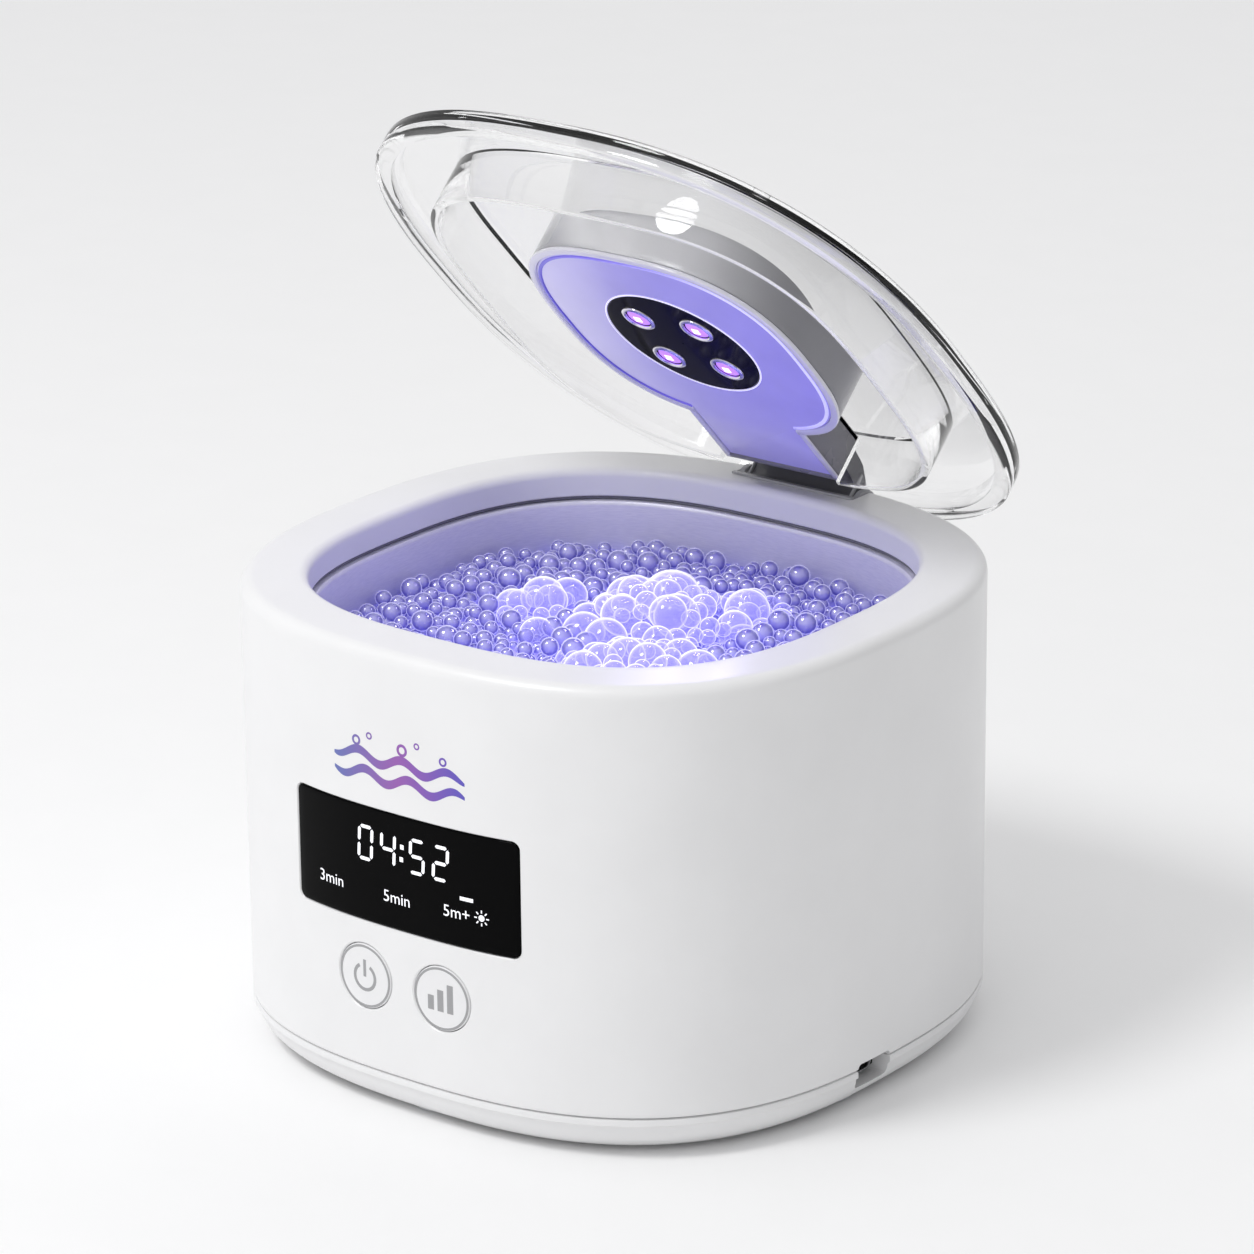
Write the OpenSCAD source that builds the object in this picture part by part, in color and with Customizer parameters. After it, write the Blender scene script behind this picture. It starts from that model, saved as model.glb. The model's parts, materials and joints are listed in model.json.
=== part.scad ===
// Ultrasonic cleaner with a UV lamp in its hinged clear lid.
// Millimetres. Origin: centre of the plane the feet stand on, +Z up, control panel towards -Y.
// The lid is drawn closed, then opened about the hinge axis to its rest angle.

/* [Body] */
// Width of the body across the sides
body_w = 128; // [124:1:134]
// Depth of the body from front to back
body_d = 126; // [122:1:132]
// Height of the top rim above the feet
rim_z = 89.6; // [88:0.1:94]
// Height of the seam between shell and base tray
seam_z = 8.4; // [8:0.1:9]
// Exponent of the body's rounded-square outline (2 is an ellipse)
body_n = 2.6; // [2.4:0.1:3]
// Wall thickness of the shell
wall = 2.2; // [2:0.1:2.6]
// Width of the flat top rim
rim_w = 12.6; // [12.4:0.1:13]

/* [Tank] */
// Depth of the bath below the rim
tank_depth = 45.6; // [38:0.2:48]
// Exponent of the bath's rounded-square outline
tank_n = 2.78; // [2.6:0.02:3]
// Height of the shell's lip inside the opening
lip_h = 5.7; // [5:0.1:6]

/* [Control panel] */
// Width of the display window
window_w = 51; // [46:1:52]
// Height of the display window
window_h = 22; // [18:1:22]
// Height of the window's centre
window_z = 48.2; // [47:0.1:49]
// Diameter of each button cap
button_d = 12.4; // [11:0.1:13]
// Distance between the two button centres
button_gap = 17.8; // [17:0.1:19]
// Height of the button centres
button_z = 26.2; // [25:0.1:27]
// Travel of each button
button_travel = 0.6; // [0.4:0.1:0.7]

/* [Lid] */
// Opening angle of the lid in the drawn pose
lid_angle = 46; // [0:1:60]
// Half width of the lid
lid_a = 60.9; // [60:0.1:62]
// Half depth of the lid
lid_b = 63.6; // [62:0.1:64]
// Exponent of the lid's outline
lid_n = 2.5; // [2.4:0.05:2.6]
// Thickness of the clear lid
lid_t = 1.8; // [1.6:0.1:2]
// Half width of the lamp housing, a round-sided square
drum_a = 29.4; // [26:0.1:30]
// Squareness of the lamp housing
drum_n = 2.7; // [2:0.1:4]
// Radius of the black LED window
led_window_r = 15.7; // [14:0.1:17]
// Half width of the neck from drum to hinge
neck_x = 13.4; // [13:0.1:13.6]

/* [Hidden] */
$fn = 48;

white = "white";
ivory = [0.93, 0.93, 0.92];
clear = [0.9, 0.92, 0.96, 0.4];
steel = "silver";
dark = [0.2, 0.2, 0.22];
board_green = [0.1, 0.4, 0.25];
violet = [0.55, 0.5, 0.95];

outline_points = 72;
eps = 0.01;

body_a = body_w / 2;
body_b = body_d / 2;
lip_a = body_a - rim_w;
lip_b = body_b - rim_w;
lip_z = rim_z - lip_h;
gasket_t = 0.8;
flange_top = lip_z - gasket_t;
flange_w = 3.9;
flange_t = 1.4;
tank_a = lip_a - 0.8;
tank_b = lip_b - 0.8;
tank_t = 1;
tank_floor = rim_z - tank_depth;
tank_round = 8;

tray_bottom = 0.9;
tray_floor = 3.3;
tray_inset = 4.6;
tongue_top = 11;
post_x = 37;
post_y = 36.4;
boss_r = 4;
boss_top = 24;
screw_r = 1.3;
pilot_r = 1.4;
foot_r = 4.4;
foot_places = [[54.6, -8], [-54.6, -8], [0, -53.6], [0, 53.6]];

board_x = 42;
board_y = 28;
board_z = 14;
board_t = 1.6;
board_post_x = 38;
board_post_y = 23;

window_t = 1.2;
fit_gap = 0.15;
front_in = body_b - wall;
panel_y = -53;
panel_x = 27;
panel_low = 13;
panel_high = 66;
panel_post_x = 23;
panel_post_z = [17, 63];
button_x = button_gap / 2;
flange_y = -59.8;
button_flange_t = 1;

port_y = -6.7;
port_w = 9.4;
port_low = 4.4;
port_high = 9.4;
port_x = 59;

hinge_y = 59.5;
hinge_z = rim_z - 3.2;
barrel_r = 3.4;
barrel_half = 11.9;
pin_r = 1.25;
pin_bore_r = 1.3;
cheek_r = 3.8;
cheek_in = 12.9;
cheek_out = 14.1;
pocket_x = 14.3;
pocket_y = 54.6;
pocket_z = 80.3;

lid_y = hinge_y - 54.8;
skirt_a = 45.8;
skirt_b = 45.6;
skirt_n = 3.2;
skirt_y = hinge_y - 55.8;
skirt_t = 1.5;
skirt_low = rim_z - 4.2;
drum_y = hinge_y - 55.2;
drum_t = 1.4;
drum_low = hinge_z;
face_t = 1.2;
neck_end = hinge_y - 10.2;
arm_low = hinge_z + 4.2;
led_pitch = 6.7;
led_r = 2.45;
led_board_z = hinge_z + 3.8;
led_post_r = 20.5;
led_post_angles = [30, 150, 240];

// lid section from the band inwards: [share of the outline, height above the rim]
lid_profile = [[1, 0.3], [1, 4], [0.965, 4.9], [0.92, 6], [0.86, 7.2], [0.79, 8.3],
    [0.62, 9.8], [0.42, 10.8], [0.2, 11.4]];

// base tray section from the floor up: [inset from the body outline, height]
tray_profile = [[tray_inset, tray_bottom], [3, 2.1], [1.7, 3.4], [0.8, 4.8], [0.25, 6.2],
    [0, 7], [0, seam_z - 0.2]];

function power_of(v, n) = sign(v) * pow(abs(v), 2 / n);

function squircle(a, b, n) = [for (i = [0 : outline_points - 1])
    let (t = 360 * i / outline_points) [a * power_of(cos(t), n), b * power_of(sin(t), n)]];

module slab(a, b, n, low, high) {
    translate([0, 0, low])
        linear_extrude(high - low)
            polygon(squircle(a, b, n));
}

module ring(a, b, n, t, low, high) {
    difference() {
        slab(a, b, n, low, high);
        slab(a - t, b - t, n, low - eps, high + eps);
    }
}

module bar(x0, x1, y0, y1, z0, z1) {
    translate([x0, y0, z0])
        cube([x1 - x0, y1 - y0, z1 - z0]);
}

module post(x, y, r, low, high) {
    translate([x, y, low])
        cylinder(r = r, h = high - low);
}

// cylinder along Y, from y0 towards +Y
module y_post(x, z, r, y0, y1) {
    translate([x, y0, z])
        rotate([-90, 0, 0])
            cylinder(r = r, h = y1 - y0);
}

// cylinder along X on the hinge axis
module x_pin(r, x0, x1) {
    translate([x0, hinge_y, hinge_z])
        rotate([0, 90, 0])
            cylinder(r = r, h = x1 - x0);
}

module four(x, y) {
    for (sx = [-1, 1], sy = [-1, 1])
        translate([sx * x, sy * y, 0])
            children();
}

module four_mirrored() {
    for (mx = [0, 1], my = [0, 1])
        mirror([mx, 0, 0])
            mirror([0, my, 0])
                children();
}

// opens what is drawn for the closed lid
module opened() {
    translate([0, hinge_y, hinge_z])
        rotate([-lid_angle, 0, 0])
            translate([0, -hinge_y, -hinge_z])
                children();
}

// rounded window outline standing on the XZ plane, cut through the front
module window_cut(grow, y0, y1) {
    w = window_w / 2 + grow;
    h = window_h / 2 + grow;
    r = 2;
    translate([0, y0, window_z])
        rotate([-90, 0, 0])
            linear_extrude(y1 - y0)
                union() {
                    square([2 * w - 2 * r, 2 * h], center = true);
                    square([2 * w, 2 * h - 2 * r], center = true);
                    for (sx = [-1, 1], sy = [-1, 1])
                        translate([sx * (w - r), sy * (h - r)])
                            circle(r = r);
                }
}

// thin skin of the body's front, from the outer face inwards
module front_skin(depth) {
    difference() {
        slab(body_a, body_b, body_n, window_z - 20, window_z + 20);
        slab(body_a - depth, body_b - depth, body_n, window_z - 21, window_z + 21);
    }
}

module port_cut() {
    bar(port_x, body_a + 4, port_y - port_w / 2, port_y + port_w / 2, port_low, port_high);
}

module shell_boss() {
    post(post_x, post_y, boss_r, tongue_top + 0.5, boss_top);
    translate([post_x, post_y, tongue_top + 0.5])
        rotate([0, 0, 45])
            translate([0, -1.2, 0])
                cube([15.4, 2.4, boss_top - tongue_top - 0.5]);
}

module outer_shell() {
    color(white)
        difference() {
            union() {
                difference() {
                    slab(body_a, body_b, body_n, seam_z, rim_z);
                    slab(body_a - wall, body_b - wall, body_n, seam_z - 1, rim_z - wall);
                    slab(lip_a, lip_b, tank_n, rim_z - wall - 1, rim_z + 1);
                }
                ring(lip_a + 1.8, lip_b + 1.8, tank_n, 1.8, lip_z, rim_z - wall + eps);
                four_mirrored()
                    shell_boss();
                bar(-16.3, 16.3, pocket_y - 0.9, front_in, pocket_z - 2, rim_z - wall + eps);
                for (sx = [-1, 1], z = panel_post_z)
                    y_post(sx * panel_post_x, z, 2.4, -front_in + 0.2, panel_y - board_t);
            }
            four(post_x, post_y)
                post(0, 0, pilot_r, tongue_top, boss_top - 2);
            intersection() {
                window_cut(fit_gap, -body_b - 2, -body_b + 10);
                front_skin(window_t + fit_gap);
            }
            bar(-22, 22, -body_b - 1, -body_b + 8, window_z - 8.5, window_z + 8.5);
            for (sx = [-1, 1])
                y_post(sx * button_x, button_z, button_d / 2 + fit_gap, -body_b - 1, -body_b + 6);
            for (sx = [-1, 1], z = panel_post_z)
                y_post(sx * panel_post_x, z, 0.95, -body_b + 3.5, -50);
            bar(-pocket_x, pocket_x, pocket_y, body_b + 1, pocket_z, rim_z + 1);
            for (sx = [-1, 1])
                post(sx * 8, 58.6, 1.1, pocket_z - 3, pocket_z + 1);
            port_cut();
        }
}

module tank() {
    steps = 4;
    color(steel)
        difference() {
            union() {
                ring(tank_a + flange_w, tank_b + flange_w, tank_n, flange_w,
                    flange_top - flange_t, flange_top);
                slab(tank_a + tank_t, tank_b + tank_t, tank_n, tank_floor + tank_round, flange_top);
                for (i = [0 : steps - 1])
                    let (s = 1 - (i + 0.5) / steps, inset = tank_round * (1 - sqrt(1 - s * s)))
                        slab(tank_a + tank_t - inset, tank_b + tank_t - inset, tank_n,
                            tank_floor - tank_t + (tank_round + tank_t) * i / steps,
                            tank_floor + tank_round + eps);
            }
            slab(tank_a, tank_b, tank_n, tank_floor + tank_round, flange_top + 1);
            for (i = [0 : steps - 1])
                let (s = 1 - (i + 0.5) / steps, inset = tank_round * (1 - sqrt(1 - s * s)))
                    slab(tank_a - inset - 0.4, tank_b - inset - 0.4, tank_n,
                        tank_floor + tank_round * i / steps, tank_floor + tank_round + 2 * eps);
        }
}

module tank_gasket() {
    color("gray")
        ring(tank_a + 3.2, tank_b + 3.2, tank_n, 1.8, flange_top, lip_z);
}

module base_tray() {
    last = len(tray_profile) - 1;
    color(white)
        difference() {
            union() {
                difference() {
                    union() {
                        for (i = [0 : last - 1])
                            let (inset = (tray_profile[i][0] + tray_profile[i + 1][0]) / 2)
                                slab(body_a - inset, body_b - inset, body_n,
                                    tray_profile[i][1], tray_profile[i + 1][1] + (i < last - 1 ? eps : 0));
                        ring(body_a - wall - 0.3, body_b - wall - 0.3, body_n, 1.5, 6, tongue_top);
                    }
                    slab(body_a - 7, body_b - 7, body_n, tray_floor, seam_z);
                    slab(body_a - 4, body_b - 4, body_n, 5.6, seam_z);
                    bar(44, port_x + eps, port_y - 7.3, port_y + 7.3, 4, seam_z);
                }
                four(post_x, post_y)
                    post(0, 0, boss_r, tray_floor - eps, tongue_top + 0.3);
                four(board_post_x, board_post_y)
                    post(0, 0, 3, tray_floor - eps, board_z);
                bar(48, 56, port_y - 4, port_y - 2, tray_floor - eps, 4.3);
                bar(48, 56, port_y + 2, port_y + 4, tray_floor - eps, 4.3);
            }
            four(post_x, post_y) {
                post(0, 0, 1.7, 0, tongue_top + 1);
                post(0, 0, 3.2, 0, 5);
            }
            four(board_post_x, board_post_y)
                post(0, 0, pilot_r, 5, board_z + 1);
            for (at = foot_places)
                post(at[0], at[1], foot_r + 0.1, 0, 2.1);
            port_cut();
        }
}

module rubber_feet() {
    color("lightgray")
        for (at = foot_places) {
            post(at[0], at[1], foot_r, 0.4, 2.1);
            post(at[0], at[1], foot_r - 0.5, 0, 0.4 + eps);
        }
}

module pan_screw(head_r, head_h, shaft_r, length) {
    difference() {
        union() {
            translate([0, 0, -head_h])
                cylinder(r = head_r, h = head_h);
            cylinder(r = shaft_r, h = length);
        }
        for (a = [0, 90])
            rotate([0, 0, a])
                translate([-head_r * 0.65, -0.3, -head_h - eps])
                    cube([head_r * 1.3, 0.6, head_h * 0.5]);
    }
}

module base_screws() {
    color(steel)
        four(post_x, post_y)
            translate([0, 0, 5])
                pan_screw(2.9, 2, screw_r, 15);
}

module bonding_plate() {
    color("lightsteelblue")
        post(0, 0, 22, tank_floor - tank_t - 1.4, tank_floor - tank_t);
}

module piezo_disc() {
    color("khaki")
        difference() {
            post(0, 0, 20, tank_floor - tank_t - 4.2, tank_floor - tank_t - 1.4);
            post(0, 0, 4, tank_floor - tank_t - 5, tank_floor - tank_t - 1.3);
        }
}

module main_board() {
    color(board_green)
        difference() {
            bar(-board_x, board_x, -board_y, board_y, board_z, board_z + board_t);
            four(board_post_x, board_post_y)
                post(0, 0, 1.6, board_z - 1, board_z + board_t + 1);
        }
}

module driver_coil() {
    low = board_z + board_t;
    color("sienna")
        translate([-22, 6, 0])
            difference() {
                union() {
                    post(0, 0, 9.5, low, low + 1.5);
                    post(0, 0, 8.4, low + 1.5 - eps, low + 11.5 + eps);
                    post(0, 0, 9.5, low + 11.5, low + 13);
                }
                post(0, 0, 2.6, low + 1, low + 14);
            }
}

module filter_capacitors() {
    low = board_z + board_t;
    color("navy")
        for (x = [4, 14.5, 25])
            post(x, -16, 4.2, low, low + 13);
}

module heat_sink() {
    low = board_z + board_t;
    fins = 7;
    color("gainsboro")
        union() {
            bar(0, 32, 9, 11.5, low, low + 17);
            for (i = [0 : fins - 1])
                bar(i * 5, i * 5 + 2, 11.5 - eps, 21, low, low + 17);
        }
}

module board_screws() {
    color(steel)
        four(board_post_x, board_post_y)
            translate([0, 0, board_z + board_t])
                mirror([0, 0, 1])
                    pan_screw(2.6, 1.7, screw_r, 7);
}

module inlet_board() {
    color(board_green)
        bar(45, 58.5, port_y - 7, port_y + 7, 4.3, 5.1);
}

module power_inlet() {
    r = 1.6;
    half = 4.4;
    z = 5.1 + r;
    color(steel)
        difference() {
            translate([52, port_y, z])
                rotate([90, 0, 90])
                    linear_extrude(8)
                        union() {
                            square([2 * (half - r), 2 * r], center = true);
                            for (s = [-1, 1])
                                translate([s * (half - r), 0])
                                    circle(r = r);
                        }
            translate([54, port_y, z])
                rotate([90, 0, 90])
                    linear_extrude(8)
                        union() {
                            square([2 * (half - r), 2 * (r - 0.35)], center = true);
                            for (s = [-1, 1])
                                translate([s * (half - r), 0])
                                    circle(r = r - 0.35);
                        }
        }
    color(dark)
        bar(53.9, 59.2, port_y - 3.2, port_y + 3.2, z - 0.35, z + 0.35);
}

module display_window() {
    color("black")
        intersection() {
            window_cut(0, -body_b - 2, -body_b + 10);
            front_skin(window_t);
        }
}

module display_board() {
    color(board_green)
        difference() {
            bar(-panel_x, panel_x, panel_y - board_t, panel_y, panel_low, panel_high);
            for (sx = [-1, 1], z = panel_post_z)
                y_post(sx * panel_post_x, z, 1.2, panel_y - board_t - 1, panel_y + 1);
        }
}

module display_module() {
    color(dark)
        bar(-19.5, 19.5, -58.6, panel_y - board_t, window_z - 8, window_z + 8);
}

module tact_switches() {
    color(dark)
        for (sx = [-1, 1]) {
            bar(sx * button_x - 3, sx * button_x + 3, panel_y - board_t - 1.8, panel_y - board_t,
                button_z - 3, button_z + 3);
            y_post(sx * button_x, button_z, 1.3, panel_y - board_t - 2.1, panel_y - board_t - 1.8 + eps);
        }
}

module panel_screws() {
    color(steel)
        for (sx = [-1, 1], z = panel_post_z)
            translate([sx * panel_post_x, panel_y, z])
                rotate([90, 0, 0])
                    pan_screw(1.9, 1.2, 0.85, 6);
}

module button_cap() {
    union() {
        intersection() {
            y_post(0, button_z, button_d / 2, -body_b - 1, flange_y + eps);
            translate([-button_x, 0, 0])
                slab(body_a, body_b, body_n, button_z - 10, button_z + 10);
        }
        y_post(0, button_z, button_d / 2 + 1, flange_y, flange_y + button_flange_t);
        y_post(0, button_z, 1.5, flange_y + button_flange_t - eps, panel_y - board_t - 2.4 - button_travel);
    }
}

module level_button() {
    color(ivory)
        translate([button_x, 0, 0])
            button_cap();
}

module power_button() {
    color(ivory)
        mirror([1, 0, 0])
            translate([button_x, 0, 0])
                button_cap();
}

module hinge_bracket() {
    color("gray")
        difference() {
            union() {
                bar(-cheek_out, cheek_out, 54.8, 62.2, 80.3, 81.7);
                bar(-cheek_out, cheek_out, 54.8, 55.8, 80.3, rim_z + 0.4);
                for (s = [0, 1])
                    mirror([s, 0, 0]) {
                        x_pin(cheek_r, cheek_in, cheek_out);
                        bar(cheek_in, cheek_out, 55.7, hinge_y + cheek_r, 80.3, hinge_z);
                    }
            }
            x_pin(pin_bore_r, -20, 20);
            for (sx = [-1, 1])
                post(sx * 8, 58.6, 1.6, 80, 82);
        }
}

module bracket_screws() {
    color(steel)
        for (sx = [-1, 1])
            translate([sx * 8, 58.6, 81.7])
                mirror([0, 0, 1])
                    pan_screw(2, 0.8, 1, 4.5);
}

module hinge_pin() {
    color(steel)
        x_pin(pin_r, -cheek_out, cheek_out);
}

module friction_washers() {
    color("orange")
        for (s = [0, 1])
            mirror([s, 0, 0])
                difference() {
                    x_pin(3, 12.25, 12.85);
                    x_pin(pin_bore_r, 12, 13);
                }
}

// solid inside the lid's outer face, shrunk by t all round
module lid_solid(t) {
    last = len(lid_profile) - 1;
    translate([0, lid_y, 0])
        for (i = [0 : last - 1])
            let (share = lid_profile[i == 0 ? 0 : i + 1][0],
                low = lid_profile[i][1], high = lid_profile[i + 1][1])
                slab(share * lid_a - t, share * lid_b - t, lid_n,
                    rim_z + (i == 0 ? low : low - eps) - t, rim_z + high - t);
}

module lid_cover() {
    color(clear)
        opened()
            difference() {
                union() {
                    difference() {
                        lid_solid(0);
                        lid_solid(lid_t);
                        translate([0, lid_y, 0])
                            slab(lid_a - 3.4, lid_b - 3.4, lid_n, rim_z - 1, rim_z + 2.2 + eps);
                    }
                    translate([0, skirt_y, 0])
                        ring(skirt_a, skirt_b, skirt_n, skirt_t, skirt_low, rim_z + 6.9);
                    for (a = led_post_angles)
                        translate([led_post_r * cos(a), drum_y + led_post_r * sin(a), 0])
                            post(0, 0, 2.2, led_board_z + 1, rim_z + 9.6);
                }
                bar(-neck_x - 0.3, neck_x + 0.3, 40, 52, skirt_low - 1, rim_z + 6.3);
                for (a = led_post_angles)
                    translate([led_post_r * cos(a), drum_y + led_post_r * sin(a), 0])
                        post(0, 0, 0.95, led_board_z, led_board_z + 5);
            }
}

module lamp_housing() {
    top = rim_z + 6.2;
    color(clear)
        opened()
            difference() {
                union() {
                    difference() {
                        translate([0, drum_y, 0])
                            slab(drum_a, drum_a, drum_n, drum_low, rim_z + 8);
                        translate([0, drum_y, 0])
                            slab(drum_a - drum_t, drum_a - drum_t, drum_n, drum_low - 1, rim_z + 9);
                        bar(-neck_x + drum_t, neck_x - drum_t, drum_y, hinge_y, drum_low - 1, top);
                    }
                    for (s = [0, 1])
                        mirror([s, 0, 0])
                            bar(neck_x - drum_t, neck_x, drum_y + 27, neck_end, drum_low, top);
                    bar(-neck_x, neck_x, neck_end - drum_t, neck_end, drum_low, top);
                    bar(-neck_x, neck_x, neck_end - eps, hinge_y - 4, arm_low, rim_z + 5.2);
                    bar(-barrel_half, barrel_half, hinge_y - 4.1, hinge_y + 1.5, arm_low, rim_z + 3.8);
                    bar(-barrel_half, barrel_half, hinge_y - 1.5, hinge_y + 1.5, hinge_z, arm_low + eps);
                    x_pin(barrel_r, -barrel_half, barrel_half);
                }
                x_pin(pin_bore_r, -20, 20);
                for (sx = [-1, 1])
                    bar(sx * 3.2 - 1, sx * 3.2 + 1, neck_end - 3, hinge_y - 5, arm_low + 1.2, arm_low + 3.2);
            }
}

module lamp_face() {
    gap = 0.1;
    low = drum_low + 0.2;
    face_a = drum_a - drum_t - gap;
    color(violet)
        opened()
            difference() {
                union() {
                    translate([0, drum_y, 0])
                        slab(face_a, face_a, drum_n, low, low + face_t);
                    bar(-neck_x + drum_t + gap, neck_x - drum_t - gap,
                        drum_y, neck_end - drum_t - gap, low, low + face_t);
                }
                translate([0, drum_y, 0])
                    post(0, 0, led_window_r + gap, low - 1, low + face_t + 1);
            }
}

module at_leds() {
    translate([0, drum_y, 0])
        four(led_pitch, led_pitch)
            children();
}

module led_window() {
    color("black")
        opened()
            difference() {
                translate([0, drum_y, 0])
                    post(0, 0, led_window_r, drum_low + 0.1, drum_low + 1.3);
                at_leds()
                    post(0, 0, led_r + 0.1, drum_low - 1, drum_low + 2);
            }
}

module led_bezels() {
    color(steel)
        opened()
            at_leds()
                difference() {
                    post(0, 0, 3.5, drum_low - 0.4, drum_low + 0.1);
                    post(0, 0, led_r + 0.1, drum_low - 1, drum_low + 1);
                }
}

module led_lenses() {
    color("violet")
        opened()
            at_leds()
                post(0, 0, led_r, drum_low - 0.2, led_board_z);
}

module led_board() {
    color(board_green)
        opened()
            difference() {
                translate([0, drum_y, 0])
                    post(0, 0, 24, led_board_z, led_board_z + 1);
                for (a = led_post_angles)
                    translate([led_post_r * cos(a), drum_y + led_post_r * sin(a), 0])
                        post(0, 0, 1.1, led_board_z - 1, led_board_z + 2);
            }
}

module led_board_screws() {
    color(steel)
        opened()
            for (a = led_post_angles)
                translate([led_post_r * cos(a), drum_y + led_post_r * sin(a), led_board_z])
                    pan_screw(1.9, 1.2, 0.85, 5);
}

module lamp_wires() {
    color("red")
        opened()
            for (sx = [-1, 1])
                translate([sx * 3.2, drum_y + 22, arm_low + 2.2])
                    rotate([-90, 0, 0])
                        cylinder(r = 0.7, h = hinge_y - 6 - drum_y - 22);
}

outer_shell();
tank();
tank_gasket();
base_tray();
rubber_feet();
base_screws();
bonding_plate();
piezo_disc();
main_board();
driver_coil();
filter_capacitors();
heat_sink();
board_screws();
inlet_board();
power_inlet();
display_window();
display_board();
display_module();
tact_switches();
panel_screws();
hinge_bracket();
bracket_screws();
hinge_pin();
friction_washers();
power_button();
level_button();
lid_cover();
lamp_housing();
lamp_face();
led_window();
led_bezels();
led_lenses();
led_board();
led_board_screws();
lamp_wires();
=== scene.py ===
"""Looks of the small ultrasonic cleaner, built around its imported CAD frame."""
import json
import math

import bmesh
import bpy
import numpy as np
from mathutils import Matrix, Vector


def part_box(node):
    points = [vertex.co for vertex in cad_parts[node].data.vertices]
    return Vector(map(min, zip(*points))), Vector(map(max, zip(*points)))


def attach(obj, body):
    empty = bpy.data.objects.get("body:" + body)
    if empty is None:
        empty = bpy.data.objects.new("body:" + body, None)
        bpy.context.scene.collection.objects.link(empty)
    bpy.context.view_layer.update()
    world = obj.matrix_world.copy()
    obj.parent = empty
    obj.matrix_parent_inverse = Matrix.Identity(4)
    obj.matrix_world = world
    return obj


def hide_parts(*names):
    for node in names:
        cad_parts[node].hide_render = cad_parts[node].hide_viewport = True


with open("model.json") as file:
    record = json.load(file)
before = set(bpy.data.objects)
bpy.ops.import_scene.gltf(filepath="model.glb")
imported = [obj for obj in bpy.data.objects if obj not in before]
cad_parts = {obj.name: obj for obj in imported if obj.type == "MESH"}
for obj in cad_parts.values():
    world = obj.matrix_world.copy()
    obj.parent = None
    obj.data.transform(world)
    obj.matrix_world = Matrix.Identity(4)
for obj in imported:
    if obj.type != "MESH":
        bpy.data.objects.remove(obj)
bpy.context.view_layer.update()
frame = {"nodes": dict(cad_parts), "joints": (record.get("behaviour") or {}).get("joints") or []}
MM = 0.001

# ---------------------------------------------------------------- sizes

SHELL_LOW, SHELL_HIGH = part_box("outer_shell")
TANK_LOW, TANK_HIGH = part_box("tank")
TRAY_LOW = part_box("base_tray")[0]
WINDOW_LOW, WINDOW_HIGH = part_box("display_window")
GASKET_LOW, GASKET_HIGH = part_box("tank_gasket")

BODY_A = SHELL_HIGH.x
BODY_B = -SHELL_LOW.y
BODY_N = 2.6
RIM_Z = SHELL_HIGH.z
SEAM_Z = SHELL_LOW.z
WALL = 2.2 * MM
RIM_WIDTH = 12.6 * MM
LIP_A = BODY_A - RIM_WIDTH
LIP_B = BODY_B - RIM_WIDTH
LIP_Z = GASKET_HIGH.z
TANK_N = 2.78
TANK_A = LIP_A - 0.8 * MM
TANK_B = LIP_B - 0.8 * MM
TANK_FLOOR = TANK_LOW.z + 1 * MM
TANK_ROUND = 8 * MM
LIQUID_Z = RIM_Z - 16 * MM
AROUND = 256

HINGE = next(j for j in frame["joints"] if j["name"] == "lid_hinge")
HINGE_Y, HINGE_Z = HINGE["pos_m"][1:]
LID_ANGLE = math.radians(-HINGE["range_deg"][0])


def opening_matrix(angle):
    """Turns the closed lid about its hinge axis; a positive angle opens it."""
    to_axis = Matrix.Translation((0, HINGE_Y, HINGE_Z))
    return to_axis @ Matrix.Rotation(-angle, 4, "X") @ to_axis.inverted()


OPENED = opening_matrix(LID_ANGLE)


def closed_box(node):
    """Corners of a lid node's box with the lid shut, where the node's sides are square to the axes."""
    shut = OPENED.inverted()
    points = np.array([shut @ v.co for v in frame["nodes"][node].data.vertices])
    return Vector(points.min(0)), Vector(points.max(0))


LID_LOW, LID_HIGH = closed_box("lid_cover")
DRUM_HIGH = closed_box("lamp_housing")[1]
LED_WINDOW_LOW, LED_WINDOW_HIGH = closed_box("led_window")
LID_A = LID_HIGH.x
LID_B = 63.6 * MM
LID_Y = LID_LOW.y + LID_B
LID_N = 2.5
LID_T = 1.8 * MM
DRUM_A = DRUM_HIGH.x
DRUM_N = 2.7
DRUM_Y = LED_WINDOW_LOW.y / 2 + LED_WINDOW_HIGH.y / 2
DRUM_T = 1.4 * MM
SKIRT_A, SKIRT_B, SKIRT_N = 45.8 * MM, 45.6 * MM, 3.2
SKIRT_Y = LID_Y - 1 * MM
SKIRT_T = 1.5 * MM
SKIRT_LOW = RIM_Z - 4.2 * MM
NECK_X = 13.4 * MM
LED_WINDOW_R = LED_WINDOW_HIGH.x
LED_PITCH = 6.7 * MM
LED_R = 2.45 * MM


# ---------------------------------------------------------------- mesh helpers

def at_height(points, z):
    """Flat points as rows of x, y and z."""
    return np.column_stack([points, np.full(len(points), z)])


def ring(a, b, n, z, y=0.0):
    """A superellipse at one height, with its points evenly spaced by polar angle."""
    angle = np.linspace(0, 2 * math.pi, AROUND, endpoint=False)
    reach = (np.abs(np.cos(angle) / a) ** n + np.abs(np.sin(angle) / b) ** n) ** (-1 / n)
    return at_height(np.stack([reach * np.cos(angle), y + reach * np.sin(angle)], axis=1), z)


def placed(name, data):
    """A new object in the scene."""
    thing = bpy.data.objects.new(name, data)
    bpy.context.scene.collection.objects.link(thing)
    return thing


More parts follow.
